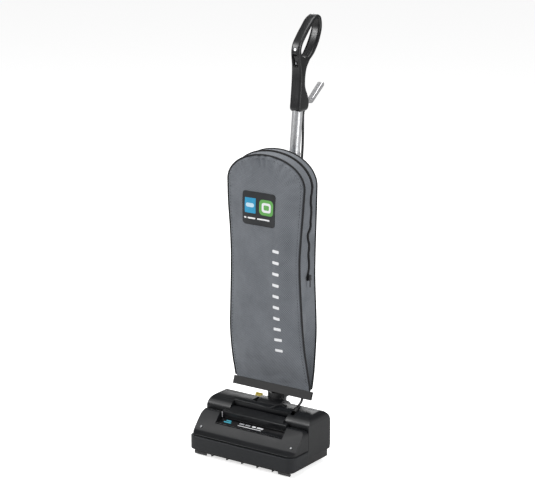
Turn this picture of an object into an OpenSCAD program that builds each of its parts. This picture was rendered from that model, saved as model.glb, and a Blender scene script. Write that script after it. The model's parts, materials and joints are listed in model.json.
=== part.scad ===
// Lightweight commercial upright vacuum cleaner
// Units are millimetres, Z is up, the front faces -Y and X = 0 is the middle plane.
// Y values in this file start at the bumper's front face; placed() moves them so
// that the origin lies on the floor under the middle of the whole machine.

/* [Floor head] */
// Width over the bumper
head_w = 342; // [334:1:360]
// Height of the motor cover's crown
crown_h = 150; // [146:1:156]
// Height of the bumper band
bumper_h = 38; // [30:1:38]
// Wall of the moulded covers
cover_t = 3; // [2:0.5:3.5]
// Radius of the brush core
brush_r = 16; // [14:0.5:16]
// Reach of the bristles from the brush axis
bristle_r = 25.5; // [22:0.5:26]
// Radius of the rear wheels
wheel_r = 27; // [24:1:28]

/* [Handle] */
// Outside diameter of the handle tube
tube_d = 28.6; // [26:0.2:28.6]
// Wall of the handle tube
tube_t = 1.6; // [1.2:0.1:2]
// Width of the grip's shaft
shaft_w = 35; // [34:1:38]
// Width of the grip's loop
loop_w = 26; // [22:1:28]

/* [Bag] */
// Half width of the bag at its arch
bag_half = 122; // [110:1:124]
// Thickness of the bag cloth
cloth_t = 1.2; // [1:0.1:2]
// Length of the clamp bar at the bag's foot
bar_l = 257; // [250:1:270]

/* [Hidden] */
$fn = 48;

half_w = head_w / 2;
side_x = half_w - 3;
floor_z = 12;
plate_t = 3;
plate_x = side_x - cover_t - 2.5;
bumper_z = 19;
bumper_t = 8;
seam_y = 84;
rear_y = 200;
gap = 0.4;

brush_y = 42;
brush_z = 33;
chamber_r = 29;
chamber_t = 2.5;
window_x = 142;
belt_x = 124;
belt_w = 9;
belt_t = 1.6;

motor_y = 122;
motor_z = 66;
motor_r = 36;
motor_x0 = -150;
motor_x1 = -62;
shaft_r = 4;
pulley_r = 8;
fan_x0 = 58;
fan_x1 = 104;
fan_r = 38;
housing_r = 46;

pivot_y = 160;
pivot_z = 112;
drum_r = 38;
drum_x = 38;
well_x = drum_x + 3;
air_r = 16;
trunnion_r = 20;
bush_t = 2.5;
outlet_r = 25;
pedal_y = 184;
pedal_z = 105;

wheel_y = 208;
wheel_w = 20;
wheel_x = 100;
axle_r = 4;
roller_r = 10;
roller_y = 92;
roller_x = 110;

lean = 6.9;
lean_rise = tan(lean);
tube_r = tube_d / 2;
tube_y = 177.6;
tube_z = 122;
tube_len = 868;
tube_foot = 18;
elbow_z = 600;

grip_foot = 928;
hook_z = 952;
hook_tip_y = 391;
mid_y = hook_tip_y / 2;

// Bag stations: height, half width, front seam and rear seam
bag_rows = [[196, 121, 157, 170], [225, 121, 152, 173], [250, 121, 146, 176],
    [300, 119, 136, 182], [350, 118, 130, 188], [400, 115, 127, 193],
    [500, 110, 125, 195], [560, 109, 124, 198], [620, 112, 125, 196],
    [700, 119, 125, 189], [757, bag_half, 127, 186]];
arch_z = 757;
arch_h = 80;
bar_tilt = 21;
bar_h = 23;
bar_t = 9;
zip_end = 500;
lead_out = [18, 11.9];
grommet_at = [104, 118, 149];
grommet_tilt = 55;
screw_places = [[280, 1008, shaft_w / 2], [281, 1116, loop_w / 2]];
rocker_y = 271.5;
rocker_z = 1066;
lamp_z = 1096;
gland_at = [4, 297];

// Points along each flexible run, laid by hand
lead_path = [[4, 297, 930], [4, 297, 921], [4, 295.6, 912], [6.5, 292, 885], [11, 285, 850], [15.5, 275.5, 812],
    [18, 268.6, 775], [18, 259.7, 701.5], [18, 250, 621], [18, 240, 538.5], [18, 230, 456],
    [18, 220, 373], [18, 210, 291], [19, 205.5, 252], [24, 202.5, 229], [36, 199, 214],
    [52, 196, 207], [65, 193.6, 201], [72.5, 191.6, 192], [75, 190.6, 184], [76, 190.2, 176]];
slack_path = [[76.04, 190.18, 175.7], [77, 189.8, 168], [79, 186.5, 161.5], [83, 179, 157.2],
    [88, 168, 155.2], [93, 155, 155], [98, 141, 154.9], [102, 130, 154], [104, 123, 152.4]];

function unit(v) = v / norm(v);
function turn(p, i) = p[(i + len(p)) % len(p)];

// Anticlockwise outline moved inwards by d
function inset(p, d) = [for (i = [0:len(p) - 1])
    let (u = unit(turn(p, i) - turn(p, i - 1)),
         v = unit(turn(p, i + 1) - turn(p, i)),
         n = [-u[1], u[0]],
         m = [-v[1], v[0]])
    turn(p, i) + d * (n + m) / (1 + n * m)];

// Corners [a, b, reach] rounded by a short curve of the given reach
function soft(p, n = 4) = [for (i = [0:len(p) - 1])
    let (b = [p[i][0], p[i][1]],
         a = [turn(p, i - 1)[0], turn(p, i - 1)[1]],
         c = [turn(p, i + 1)[0], turn(p, i + 1)[1]],
         s = b + unit(a - b) * p[i][2],
         e = b + unit(c - b) * p[i][2])
    each (p[i][2] == 0 ? [b] :
        [for (k = [0:1 / n:1]) (1 - k) * (1 - k) * s + 2 * k * (1 - k) * b + k * k * e])];

// Corner rows moved inwards by d, with their reach cut to suit
function shrink(p, d) = let (q = inset([for (c = p) [c[0], c[1]]], d))
    [for (i = [0:len(p) - 1]) [q[i][0], q[i][1], max(0, p[i][2] - abs(d))]];

function bag_value(z, column) = lookup(z, [for (r = bag_rows) [r[0], r[column]]]);

// Y of the tube's axis at a height
function tube_axis(z) = tube_y + (z - tube_z) * lean_rise;

module placed() {
    translate([0, -mid_y, 0]) children();
}

// A Y-Z outline extruded from x0 to x1
module along_x(x0, x1) {
    translate([x0, 0, 0]) rotate([90, 0, 90]) linear_extrude(x1 - x0) children();
}

// An X-Z outline extruded from y0 to y1
module along_y(y0, y1) {
    translate([0, y1, 0]) rotate([90, 0, 0]) linear_extrude(y1 - y0) children();
}

module rod_x(x0, x1, y, z, r) {
    translate([x0, y, z]) rotate([0, 90, 0]) cylinder(h = x1 - x0, r = r);
}

module rod_y(y0, y1, x, z, r) {
    translate([x, y1, z]) rotate([90, 0, 0]) cylinder(h = y1 - y0, r = r);
}

module block(x0, x1, y0, y1, z0, z1) {
    translate([x0, y0, z0]) cube([x1 - x0, y1 - y0, z1 - z0]);
}

// Frame whose Z axis is the handle tube's axis
module on_tube() {
    translate([0, tube_y, tube_z]) rotate([-lean, 0, 0]) children();
}

module both_sides() {
    children();
    mirror([1, 0, 0]) children();
}

// Round section swept along a path; the path never runs along ref
module sweep(path, r, sides = 8, ref = [1, 0, 0]) {
    n = len(path);
    points = [for (i = [0:n - 1])
        let (t = unit(path[min(i + 1, n - 1)] - path[max(i - 1, 0)]),
             s = unit(cross(t, ref)),
             u = cross(t, s))
        for (k = [0:sides - 1])
            path[i] + r * (cos(k * 360 / sides) * s + sin(k * 360 / sides) * u)];
    walls = [for (i = [0:n - 2]) for (k = [0:sides - 1])
        let (a = i * sides + k, b = i * sides + (k + 1) % sides)
        each [[a, b, b + sides], [a, b + sides, a + sides]]];
    foot = [[for (k = [0:sides - 1]) sides - 1 - k]];
    head = [[for (k = [0:sides - 1]) (n - 1) * sides + k]];
    polyhedron(points, concat(foot, walls, head), convexity = 6);
}

// Plan of the floor head with rounded corners
module plan(x, y0, y1, front_r, rear_r) {
    polygon(soft([[-x, y0, front_r], [x, y0, front_r], [x, y1, rear_r], [-x, y1, rear_r]], 6));
}

// ---- floor head ----

module base_plate() {
    wall = 2.5;
    wall_top = 54;
    color([0.16, 0.16, 0.17]) placed() difference() {
        union() {
            translate([0, 0, floor_z]) linear_extrude(plate_t) plan(plate_x, 9, 192, 18, 12);
            translate([0, 0, floor_z]) linear_extrude(wall_top - floor_z) difference() {
                plan(plate_x, 9, 192, 18, 12);
                plan(plate_x - wall, 9 + wall, 192 - wall, 16, 10);
            }
            both_sides() {
                block(82, 86.5, 186, 215, floor_z, 38);
                block(113.5, 118, 186, 215, floor_z, 38);
                block(roller_x - 14, roller_x - 10.5, 84, 100, 5, floor_z + plate_t);
                block(roller_x + 10.5, roller_x + 14, 84, 100, 5, floor_z + plate_t);
            }
        }
        block(-window_x, window_x, 16, 68, 0, 40);
        difference() {
            rod_x(-152.1, 152.1, brush_y, brush_z, chamber_r + chamber_t + 0.05);
            block(-160, 160, 0, 90, 0, floor_z + plate_t + 0.02);
        }
        rod_x(-118.5, 118.5, wheel_y, wheel_r, axle_r);
        both_sides() {
            block(87, 113, 176, 230, 0, 70);
            block(roller_x - 10.5, roller_x + 10.5, 80, 104, 0, 40);
            rod_x(roller_x - 20, roller_x + 20, roller_y, roller_r, 2.5);
        }
    }
}

module brush_guard() {
    color([0.62, 0.62, 0.63]) placed() difference() {
        union() {
            difference() {
                block(-150, 150, 11, 76, 10.6, 11.8);
                block(-window_x, window_x, 17, 67, 9, 13);
            }
            for (x = [-100, -50, 0, 50, 100])
                block(x - 1.2, x + 1.2, 12, 72, 5.5, 7);
            for (x = [-100, -50, 0, 50, 100])
                for (y = [12, 70]) block(x - 1.2, x + 1.2, y, y + 2, 5.5, 11);
        }
        both_sides() block(roller_x - 12, roller_x + 12, 74, 110, 0, 20);
    }
}

module brush_chamber() {
    shell_r = chamber_r + chamber_t;
    color([0.2, 0.2, 0.21]) placed() difference() {
        rod_x(-152, 152, brush_y, brush_z, shell_r);
        rod_x(-149.5, 149.5, brush_y, brush_z, chamber_r);
        block(-160, 160, 0, 90, -10, floor_z + plate_t + 0.05);
        block(14, 50, 60, 80, 18, 50);
        block(belt_x - 7, belt_x + 7, 56, 80, 10, 80);
        rod_x(-160, 160, brush_y, brush_z, 4.05);
    }
}

cover_side = [[rear_y - 12, 34, 4], [rear_y - 3, 50, 8], [rear_y, 67, 8],
    [rear_y - 3, 97, 8], [rear_y - 13, 128, 12], [rear_y - 34, crown_h - 4, 8],
    [142, crown_h, 8], [118, crown_h - 1, 6], [98, crown_h - 9, 8],
    [seam_y + gap, 125, 7], [seam_y + gap, 57.5, 0], [seam_y + gap, 36, 3]];

nozzle_side = [[seam_y - gap, 57.4, 0], [seam_y - gap, 113, 2], [67, 117, 4],
    [22, 66, 5], [8, 60, 1], [8, 57.4, 0]];

// The nozzle cover without its lip, for the hollow inside
nozzle_core = [[seam_y - gap, 57.4, 0], [seam_y - gap, 113, 2], [67, 117, 4],
    [22, 66, 5], [14.5, 57.4, 0]];

function cover_front(top) = [[-side_x, 30, 2], [side_x, 30, 2], [side_x, top, 26],
    [-side_x, top, 26]];

// Closed form of the head's upper part, d inside its skin; an outline of the side is given
module head_form(side, top, d) {
    intersection() {
        along_x(-side_x + d, side_x - d) polygon(soft(shrink(side, d)));
        along_y(0, 230) polygon(soft(shrink(cover_front(top), d), 6));
        linear_extrude(200) plan(side_x - d, 7 + d, rear_y + 0.5 - d, 24, 16);
    }
}

// Slot behind the nozzle cover's ledge
module pocket(d) {
    along_x(-90 - d, 92 + d)
        polygon([[seam_y - 4, 117 - d], [107 + d, 117 - d], [102 + d, 152], [seam_y - 4, 152]]);
}

// Well that the neck's drum turns in, open to the top and the rear
module neck_well(d) {
    rod_x(-well_x - d, well_x + d, pivot_y, pivot_z, drum_r + 3 + d);
    block(-well_x - d, well_x + d, pivot_y - drum_r - 3 - d, 230, pivot_z, 170);
    block(-33 - d, 33 + d, pivot_y, 230, 70 - d, 170);
}

module motor_cover() {
    color([0.13, 0.14, 0.15]) placed() difference() {
        head_form(cover_side, crown_h, 0);
        difference() {
            head_form(cover_side, crown_h, cover_t);
            pocket(cover_t);
            neck_well(cover_t);
        }
        block(-side_x + cover_t, side_x - cover_t, 40, rear_y - 6, 20, 50);
        block(-side_x + cover_t, side_x - cover_t, seam_y - 2, seam_y + 6, 20, 100);
        pocket(0);
        neck_well(0);
        rod_x(0, 60, pivot_y, pivot_z, trunnion_r + 1);
        rod_x(-60, 0, pivot_y, pivot_z, 14);
        both_sides() block(85, 115, 170, 230, 20, 60);
        both_sides() block(80, 120, 180, 230, 20, 42);
        block(-85, -59, 172, 230, 94, 170);
        at_grommet() cylinder(h = 40, r = 7, center = true);
    }
}

// Frame of the grommet where the lead enters the crown
module at_grommet() {
    translate(grommet_at) rotate([-grommet_tilt, 0, 0]) children();
}

// Sunken panel for the label, below the ledge
module label_recess(d) {
    along_x(-110 - d, 110 + d)
        polygon([[43, 89 - d], [76 + d, 100 - d], [72 + d, 130], [30, 130]]);
}

module nozzle_cover() {
    color([0.13, 0.14, 0.15]) placed() {
        difference() {
            head_form(nozzle_side, 122, 0);
            difference() {
                head_form(nozzle_core, 122, cover_t);
                label_recess(cover_t);
            }
            block(-side_x + cover_t + 2, side_x - cover_t - 2, 17, 80, 40, 61);
            block(-side_x + cover_t, side_x - cover_t, 79, 90, 50, 95);
            label_recess(0);
        }
        along_x(-105, 105) polygon(soft([[73, 108, 0], [seam_y - gap, 108, 0],
            [seam_y - gap, 121.5, 2], [76, 122, 2], [70, 119, 3]], 3));
    }
}

module bumper() {
    color([0.2, 0.2, 0.21]) placed() difference() {
        translate([0, 0, bumper_z]) linear_extrude(bumper_h) plan(half_w, 0, 100, 26, 0);
        linear_extrude(100) plan(half_w - bumper_t, bumper_t, 130, 20, 0);
        along_x(-200, 200) polygon([[70, 10], [82, 40], [82, 70], [120, 70], [120, 10]]);
        rod_x(-half_w - 1, half_w + 1, 88, bumper_z - 4, 12);
    }
}

module hood_label() {
    color([0.05, 0.05, 0.06]) placed()
        along_x(-108, 108) polygon([[46, 90.2], [74.5, 99.7], [74.1, 100.9], [45.6, 91.4]]);
}

module hood_screws() {
    color([0.85, 0.85, 0.86]) placed() both_sides()
        translate([148, 31, 76.4]) rotate([49, 0, 0]) difference() {
            cylinder(h = 2, r = 4);
            block(-3, 3, -0.6, 0.6, 1.2, 3);
            block(-0.6, 0.6, -3, 3, 1.2, 3);
        }
}

module edge_brushes() {
    color([0.5, 0.5, 0.5]) placed() both_sides() {
        block(118, 158, 13, 15.8, 5.5, 10.4);
        for (i = [0:12]) block(118.5 + i * 3, 120.5 + i * 3, 13.4, 15.4, 3, 5.5);
    }
}

// ---- brush and drive ----

module brush_core() {
    color([0.55, 0.42, 0.26]) placed() difference() {
        rod_x(-138, 138, brush_y, brush_z, brush_r);
        rod_x(-140, 140, brush_y, brush_z, 4.06);
    }
}

module brush_bristles() {
    count = 24;
    color([0.1, 0.1, 0.1]) placed()
        for (row = [0, 1]) for (i = [0:count - 1])
            let (x = -130 + i * 10)
            if (x < belt_x - 12)
                translate([x, brush_y, brush_z]) rotate([row * 180 + i * 14, 0, 0])
                    translate([0, 0, brush_r + 0.02]) cylinder(h = bristle_r - brush_r, r = 2.6);
}

module brush_shaft() {
    color([0.7, 0.7, 0.72]) placed() rod_x(-151.5, 151.5, brush_y, brush_z, 4);
}

module brush_end_blocks() {
    color([0.12, 0.12, 0.12]) placed() both_sides() difference() {
        block(139, 149, brush_y - 14, brush_y + 14, floor_z + plate_t + 0.5, 52);
        rod_x(130, 150, brush_y, brush_z, 4);
    }
}

module belt_loop(grow) {
    hull() {
        translate([brush_y, brush_z]) circle(brush_r + 0.3 + grow);
        translate([motor_y, motor_z]) circle(pulley_r + 0.3 + grow);
    }
}

module drive_belt() {
    color([0.07, 0.07, 0.07]) placed() along_x(belt_x - belt_w / 2, belt_x + belt_w / 2)
        difference() {
            belt_loop(belt_t);
            belt_loop(0);
        }
}

module motor_casing() {
    color([0.45, 0.46, 0.48]) placed() difference() {
        union() {
            rod_x(motor_x0, motor_x1, motor_y, motor_z, motor_r);
            rod_x(motor_x1 - 1, motor_x1 + 5, motor_y, motor_z, 14);
        }
        rod_x(motor_x0 + 2.5, motor_x1 - 2.5, motor_y, motor_z, motor_r - 2);
        rod_x(motor_x0 - 5, motor_x1 + 10, motor_y, motor_z, shaft_r + 0.06);
        for (a = [0:45:315])
            translate([motor_x0 - 1, motor_y, motor_z]) rotate([a, 0, 0])
                translate([0, -3, 16]) cube([6, 6, 12]);
    }
}

module motor_stator() {
    color([0.5, 0.5, 0.5]) placed() difference() {
        rod_x(-138, -84, motor_y, motor_z, motor_r - 2);
        rod_x(-140, -80, motor_y, motor_z, 20);
    }
}

module motor_armature() {
    color([0.72, 0.45, 0.2]) placed() {
        rod_x(-151.5, 131, motor_y, motor_z, shaft_r);
        rod_x(-134, -88, motor_y, motor_z, 19);
        rod_x(-84, -72, motor_y, motor_z, 11);
    }
}

module carbon_brushes() {
    color([0.2, 0.2, 0.22]) placed() for (s = [-1, 1])
        translate([0, motor_y, motor_z]) rotate([s * 90, 0, 0])
            block(-81, -75, -3, 3, 11.4, motor_r - 2.3);
}

module motor_mounts() {
    color([0.08, 0.08, 0.08]) placed() for (x = [-142, -82]) difference() {
        block(x, x + 12, motor_y - 20, motor_y + 20, floor_z + plate_t, 44);
        rod_x(x - 1, x + 13, motor_y, motor_z, motor_r);
    }
}

module belt_pulley() {
    color([0.75, 0.75, 0.76]) placed() difference() {
        union() {
            rod_x(118, 130, motor_y, motor_z, pulley_r);
            rod_x(116.5, 118.5, motor_y, motor_z, pulley_r + 3);
            rod_x(129.5, 131, motor_y, motor_z, pulley_r + 3);
        }
        rod_x(110, 140, motor_y, motor_z, shaft_r);
    }
}

module suction_fan() {
    color([0.18, 0.18, 0.19]) placed() difference() {
        union() {
            rod_x(88, 91, motor_y, motor_z, fan_r);
            rod_x(66, 91, motor_y, motor_z, 9);
            for (a = [0:40:320])
                translate([70, motor_y, motor_z]) rotate([a, 0, 0])
                    translate([0, -1.2, 8]) cube([19, 2.4, fan_r - 9]);
        }
        rod_x(50, 110, motor_y, motor_z, shaft_r);
    }
}

// Volute of the fan with the outlet that meets the neck's hollow trunnion
module fan_form(d) {
    rod_x(fan_x0 + d, fan_x1 - d, motor_y, motor_z, housing_r - d);
    rod_x(fan_x0 + d, 84 - d, pivot_y, pivot_z, outlet_r - d);
    along_x(fan_x0 + d, 84 - d) polygon(inset([[140, 78], [168, 84], [181, 104],
        [150, 132], [132, 100]], d));
}

module fan_housing() {
    color([0.22, 0.22, 0.23]) placed() difference() {
        union() {
            fan_form(0);
            rod_x(46, fan_x0 + 3, pivot_y, pivot_z, outlet_r);
        }
        fan_form(3);
        rod_x(40, fan_x0 + 10, pivot_y, pivot_z, trunnion_r + bush_t);
        block(fan_x0 - 1, fan_x0 + 3.1, 0, 200, 0, 84);
        rod_x(fan_x0, 120, motor_y, motor_z, 6);
    }
}

module fan_cover() {
    color([0.22, 0.22, 0.23]) placed() difference() {
        rod_x(fan_x0, fan_x0 + 3, motor_y, motor_z, housing_r);
        rod_x(fan_x0 - 1, fan_x0 + 4, motor_y, motor_z, 22);
        block(40, 110, 0, 200, 84, 200);
    }
}

module suction_duct() {
    color([0.2, 0.2, 0.21]) placed() difference() {
        union() {
            block(11, 57.5, 76, 112, 18, 62);
            block(46.5, 57.5, 76, 143, 18, 86);
        }
        block(13.5, 55, 70, 109.5, 20.5, 59.5);
        block(49, 55, 70, 140.5, 20.5, 83.5);
        block(50, 60, 100, 140, 46, 83);
        rod_x(40, 52, motor_y, motor_z, 6);
    }
}

module neck_bracket() {
    color([0.2, 0.2, 0.21]) placed() difference() {
        union() {
            block(-56, -47, 130, 188, floor_z + plate_t, 112);
            rod_x(-56, -47, pivot_y, pivot_z, 20);
            block(-56, -47, pivot_y - 20, pivot_y + 20, 100, pivot_z);
        }
        rod_x(-60, -40, pivot_y, pivot_z, 12);
    }
}

module neck_bush() {
    color([0.85, 0.84, 0.8]) placed() {
        difference() {
            rod_x(-56, -47, pivot_y, pivot_z, 12);
            rod_x(-60, -40, pivot_y, pivot_z, 8.05);
        }
        difference() {
            rod_x(46, fan_x0 + 3, pivot_y, pivot_z, trunnion_r + bush_t);
            rod_x(40, fan_x0 + 10, pivot_y, pivot_z, trunnion_r + 0.05);
        }
    }
}

// Hollow drum with its riser, trunnions and the socket for the tube
module neck() {
    color([0.1, 0.1, 0.11]) placed() difference() {
        union() {
            rod_x(-drum_x, drum_x, pivot_y, pivot_z, drum_r);
            rod_x(drum_x - 1, fan_x0 + 2, pivot_y, pivot_z, trunnion_r);
            rod_x(-55.5, 0, pivot_y, pivot_z, 8);
            on_tube() cylinder(h = 42, r = 26.5);
            on_tube() cylinder(h = 66, r = 17.6);
            on_tube() translate([0, 0, 52]) rotate([90, 0, 0])
                translate([0, 0, -24]) cylinder(h = 10, r = 6);
        }
        rod_x(-30, fan_x0 + 5, pivot_y, pivot_z, air_r);
        on_tube() translate([0, 0, -14]) cylinder(h = 90, r = tube_r);
        on_tube() translate([0, 0, 52]) rotate([90, 0, 0])
            translate([0, 0, -30]) cylinder(h = 30, r = 2.2);
    }
}

// ---- handle release, wheels and rollers ----

module release_pedal() {
    color([0.93, 0.78, 0.08]) placed() difference() {
        along_x(-82, -62) polygon(soft([[176, 98, 3], [190, 98, 3], [197, 122, 4],
            [203, 130, 2], [202, 141, 2], [195, 142, 3], [187, 124, 4], [176, 112, 3]], 4));
        rod_x(-100, -50, pedal_y, pedal_z, 3.06);
    }
}

module pedal_pin() {
    color([0.75, 0.75, 0.77]) placed()
        rod_x(-85.5, -58.5, pedal_y, pedal_z, 3);
}

module pedal_bracket() {
    color([0.2, 0.2, 0.21]) placed() difference() {
        union() {
            block(-85.5, -83, 160, 188, floor_z + plate_t, 109);
            block(-61, -58.5, 160, 188, floor_z + plate_t, 109);
            block(-85.5, -58.5, 160, 165, floor_z + plate_t, 90);
        }
        block(-90, -50, 185.9, 200, 0, 42);
        rod_x(-110, -50, pedal_y, pedal_z, 3);
    }
}

module rear_axle() {
    color([0.75, 0.75, 0.77]) placed() rod_x(-118, 118, wheel_y, wheel_r, axle_r);
}

module rear_wheel(x) {
    placed() difference() {
        union() {
            rod_x(x - wheel_w / 2, x + wheel_w / 2, wheel_y, wheel_r, wheel_r - 2);
            rod_x(x - 6, x + 6, wheel_y, wheel_r, wheel_r);
        }
        rod_x(x - 20, x + 20, wheel_y, wheel_r, axle_r + 0.06);
        rod_x(x + 5, x + 11, wheel_y, wheel_r, 20);
        rod_x(x - 11, x - 5, wheel_y, wheel_r, 20);
    }
    placed() difference() {
        rod_x(x - 12.5, x + 12.5, wheel_y, wheel_r, 9);
        rod_x(x - 20, x + 20, wheel_y, wheel_r, axle_r + 0.06);
    }
}

module rear_wheel_left() {
    color([0.12, 0.12, 0.12]) rear_wheel(-wheel_x);
}

module rear_wheel_right() {
    color([0.12, 0.12, 0.12]) rear_wheel(wheel_x);
}

module front_roller(x) {
    placed() difference() {
        rod_x(x - 9, x + 9, roller_y, roller_r, roller_r);
        rod_x(x - 12, x + 12, roller_y, roller_r, 2.56);
    }
}

module front_roller_left() {
    color([0.12, 0.12, 0.12]) front_roller(-roller_x);
}

module front_roller_right() {
    color([0.12, 0.12, 0.12]) front_roller(roller_x);
}

module roller_pins() {
    color([0.75, 0.75, 0.77]) placed() both_sides()
        rod_x(roller_x - 14, roller_x + 14, roller_y, roller_r, 2.5);
}

// ---- leads ----

module lead_grommet() {
    color([0.06, 0.06, 0.06]) placed()
        at_grommet() difference() {
            translate([0, 0, -7]) cylinder(h = 13, r = 6.6);
            cylinder(h = 40, r = 3.9, center = true);
        }
}

module lead_slack() {
    color([0.05, 0.05, 0.05]) placed() sweep(slack_path, 3.5);
}

module switch_lead() {
    color([0.05, 0.05, 0.05]) placed() sweep(lead_path, 3.5);
}

// Rings on the tube, each with an eye that holds the lead
module lead_clips() {
    color([0.08, 0.08, 0.08]) placed() for (z = [330, 500, 740])
        on_tube() translate([0, 0, (z - tube_z) / cos(lean) - 5]) difference() {
            union() {
                cylinder(h = 10, r = tube_r + 2);
                translate([lead_out[0], lead_out[1], 0]) cylinder(h = 10, r = 6.5);
            }
            translate([0, 0, -1]) cylinder(h = 12, r = tube_r);
            translate([lead_out[0], lead_out[1], -1]) cylinder(h = 12, r = 3.7);
        }
}

// ---- tube and bag ----

module handle_tube() {
    color([0.78, 0.79, 0.8]) placed() on_tube() difference() {
        translate([0, 0, tube_foot]) cylinder(h = tube_len - tube_foot, r = tube_r);
        translate([0, 0, tube_foot - 1]) cylinder(h = tube_len, r = tube_r - tube_t);
        translate([0, 0, (elbow_z - tube_z) / cos(lean)]) rotate([90, 0, 0])
            cylinder(h = 40, r = 10);
    }
}

module tube_plug() {
    color([0.1, 0.1, 0.1]) placed() on_tube()
        translate([0, 0, (elbow_z - tube_z) / cos(lean) + 18]) cylinder(h = 14, r = tube_r - tube_t);
}

// Saddle on the tube with a spigot into the filter bag's collar
module fill_elbow() {
    s = (elbow_z - tube_z) / cos(lean);
    color([0.15, 0.15, 0.16]) placed() on_tube() difference() {
        union() {
            translate([0, 0, s - 26]) cylinder(h = 52, r = tube_r + 3);
            translate([0, 0, s]) rotate([90, 0, 0]) cylinder(h = 62, r = 14);
        }
        translate([0, 0, s - 30]) cylinder(h = 60, r = tube_r);
        translate([0, 0, s]) rotate([90, 0, 0]) cylinder(h = 70, r = 11);
    }
}

bag_front = concat(
    [for (i = [0:len(bag_rows) - 1]) [bag_rows[i][1], bag_rows[i][0]]],
    [for (a = [10:10:170]) [bag_half * cos(a), arch_z + arch_h * sin(a)]],
    [for (i = [len(bag_rows) - 1:-1:0]) [-bag_rows[i][1], bag_rows[i][0]]]);
bag_side = concat(
    [for (i = [0:len(bag_rows) - 1]) [bag_rows[i][3], bag_rows[i][0]]],
    [[187, 810], [188, arch_z + arch_h + 3], [128, arch_z + arch_h + 3], [116, 815]],
    [for (i = [len(bag_rows) - 1:-1:2]) [bag_rows[i][2] - 14, bag_rows[i][0]]],
    [[145, 225], [157, bag_rows[0][0]]]);

module bag_form(d) {
    intersection() {
        along_y(90, 210) polygon(inset(bag_front, d));
        along_x(-150, 150) polygon(inset(bag_side, d));
    }
}

// Zipped outer bag, with the hem that the clamp bar holds
module bag_cloth() {
    color([0.43, 0.45, 0.47]) placed() {
        difference() {
            bag_form(0);
            bag_form(cloth_t);
            elbow_hole(15);
        }
        in_bar() block(-118, 118, -1.4, 1.4, -5, 16);
    }
}

module elbow_hole(r) {
    s = (elbow_z - tube_z) / cos(lean);
    on_tube() translate([0, 0, s]) rotate([90, 0, 0]) cylinder(h = 66, r = r);
}

// Frame at the middle of the clamp bar
module in_bar() {
    translate([0, 158.5, 181.5]) rotate([-bar_tilt, 0, 0]) children();
}

module bag_clamp_bar() {
    color([0.25, 0.25, 0.26]) placed() in_bar() difference() {
        block(-bar_l / 2, bar_l / 2, -bar_t / 2, bar_t / 2, -bar_h / 2, bar_h / 2);
        block(-bar_l, bar_l, -1.6, 1.6, -6, bar_h);
    }
}

// One seam round a panel: up one side, over the arch and down the other
function seam_path(column, out, lift, z0) = concat(
    [for (z = [z0:28:arch_z - 10]) [bag_value(z, 1) + out, bag_value(z, column), z]],
    [for (a = [0:12:180]) [(bag_half + out) * cos(a), bag_value(arch_z, column),
        arch_z + (arch_h + lift) * sin(a)]],
    [for (z = [arch_z - 10:-28:z0]) [-bag_value(z, 1) - out, bag_value(z, column), z]]);

module bag_piping() {
    color([0.04, 0.04, 0.04]) placed() {
        sweep(seam_path(2, 2.4, 2.6, 205), 2, 8, [0, 1, 0]);
        sweep(seam_path(3, 2.4, 2.6, 205), 2, 8, [0, 1, 0]);
    }
}

// Zip round the arch and down the right-hand side
function zip_path() = concat(
    [for (z = [zip_end:28:arch_z - 10]) [bag_value(z, 1) + 3, 158, z]],
    [for (a = [0:12:180]) [(bag_half + 3) * cos(a), 157, arch_z + (arch_h + 3.2) * sin(a)]],
    [for (z = [arch_z - 10:-28:720]) [-bag_value(z, 1) - 3, 157, z]]);

module bag_zipper() {
    color([0.03, 0.03, 0.03]) placed() sweep(zip_path(), 2.4, 8, [0, 1, 0]);
}

module zipper_slider() {
    color([0.5, 0.5, 0.52]) placed() translate([bag_value(zip_end, 1) + 9.8, 158, zip_end + 12]) {
        difference() {
            cube([5, 10, 14], center = true);
            translate([0, 0, -8]) cube([2, 4, 8], center = true);
        }
        translate([1.2, -2, -26]) cube([1.3, 4, 19.5]);
    }
}

module bag_badge() {
    color([0.08, 0.09, 0.1]) placed() translate([-10, 110.9, 691]) rotate([90, 0, 0])
        linear_extrude(1.4) polygon(soft([[-53, -43, 9], [53, -43, 9], [53, 43, 9],
            [-53, 43, 9]], 4));
}

// Paper filter bag with the stiff collar that docks on the spigot
module filter_bag() {
    color([0.9, 0.88, 0.82]) placed() {
        difference() {
            block(-88, 88, 128, 174, 330, 720);
            block(-87, 87, 129, 173, 331, 719);
            elbow_hole(15);
        }
        difference() {
            block(-34, 34, 174, 177, 565, 635);
            elbow_hole(15);
        }
    }
}

// Closed coil spring that hangs the bag's top from a clip on the tube
module bag_hanger() {
    z = 812;
    y0 = 188.2;
    y1 = tube_axis(z) - tube_r;
    color([0.6, 0.6, 0.62]) placed() {
        block(-9, 9, y0, y0 + 2.4, z - 8, z + 8);
        rod_y(y0 + 1, y1 - 1, 0, z, 1.4);
        rod_y(y0 + 9, y1 - 8, 0, z, 4.5);
        on_tube() translate([0, 0, (z - tube_z) / cos(lean) - 7]) difference() {
            cylinder(h = 14, r = tube_r + 2);
            translate([0, 0, -1]) cylinder(h = 16, r = tube_r);
        }
    }
}

// Lower hook that the mains cord is wound round
module lower_cord_hook() {
    z = 420;
    y = tube_axis(z);
    color([0.1, 0.1, 0.1]) placed() difference() {
        union() {
            on_tube() translate([0, 0, (z - tube_z) / cos(lean) - 14])
                cylinder(h = 28, r = tube_r + 3);
            along_x(-8, 8) polygon(soft([[y + 10, z - 8, 0], [y + 24, z - 8, 4],
                [y + 62, z - 42, 3], [y + 58, z - 47, 3], [y + 24, z - 17, 4],
                [y + 10, z - 17, 0]], 3));
        }
        on_tube() cylinder(h = 500, r = tube_r);
    }
}

// ---- grip ----

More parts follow.
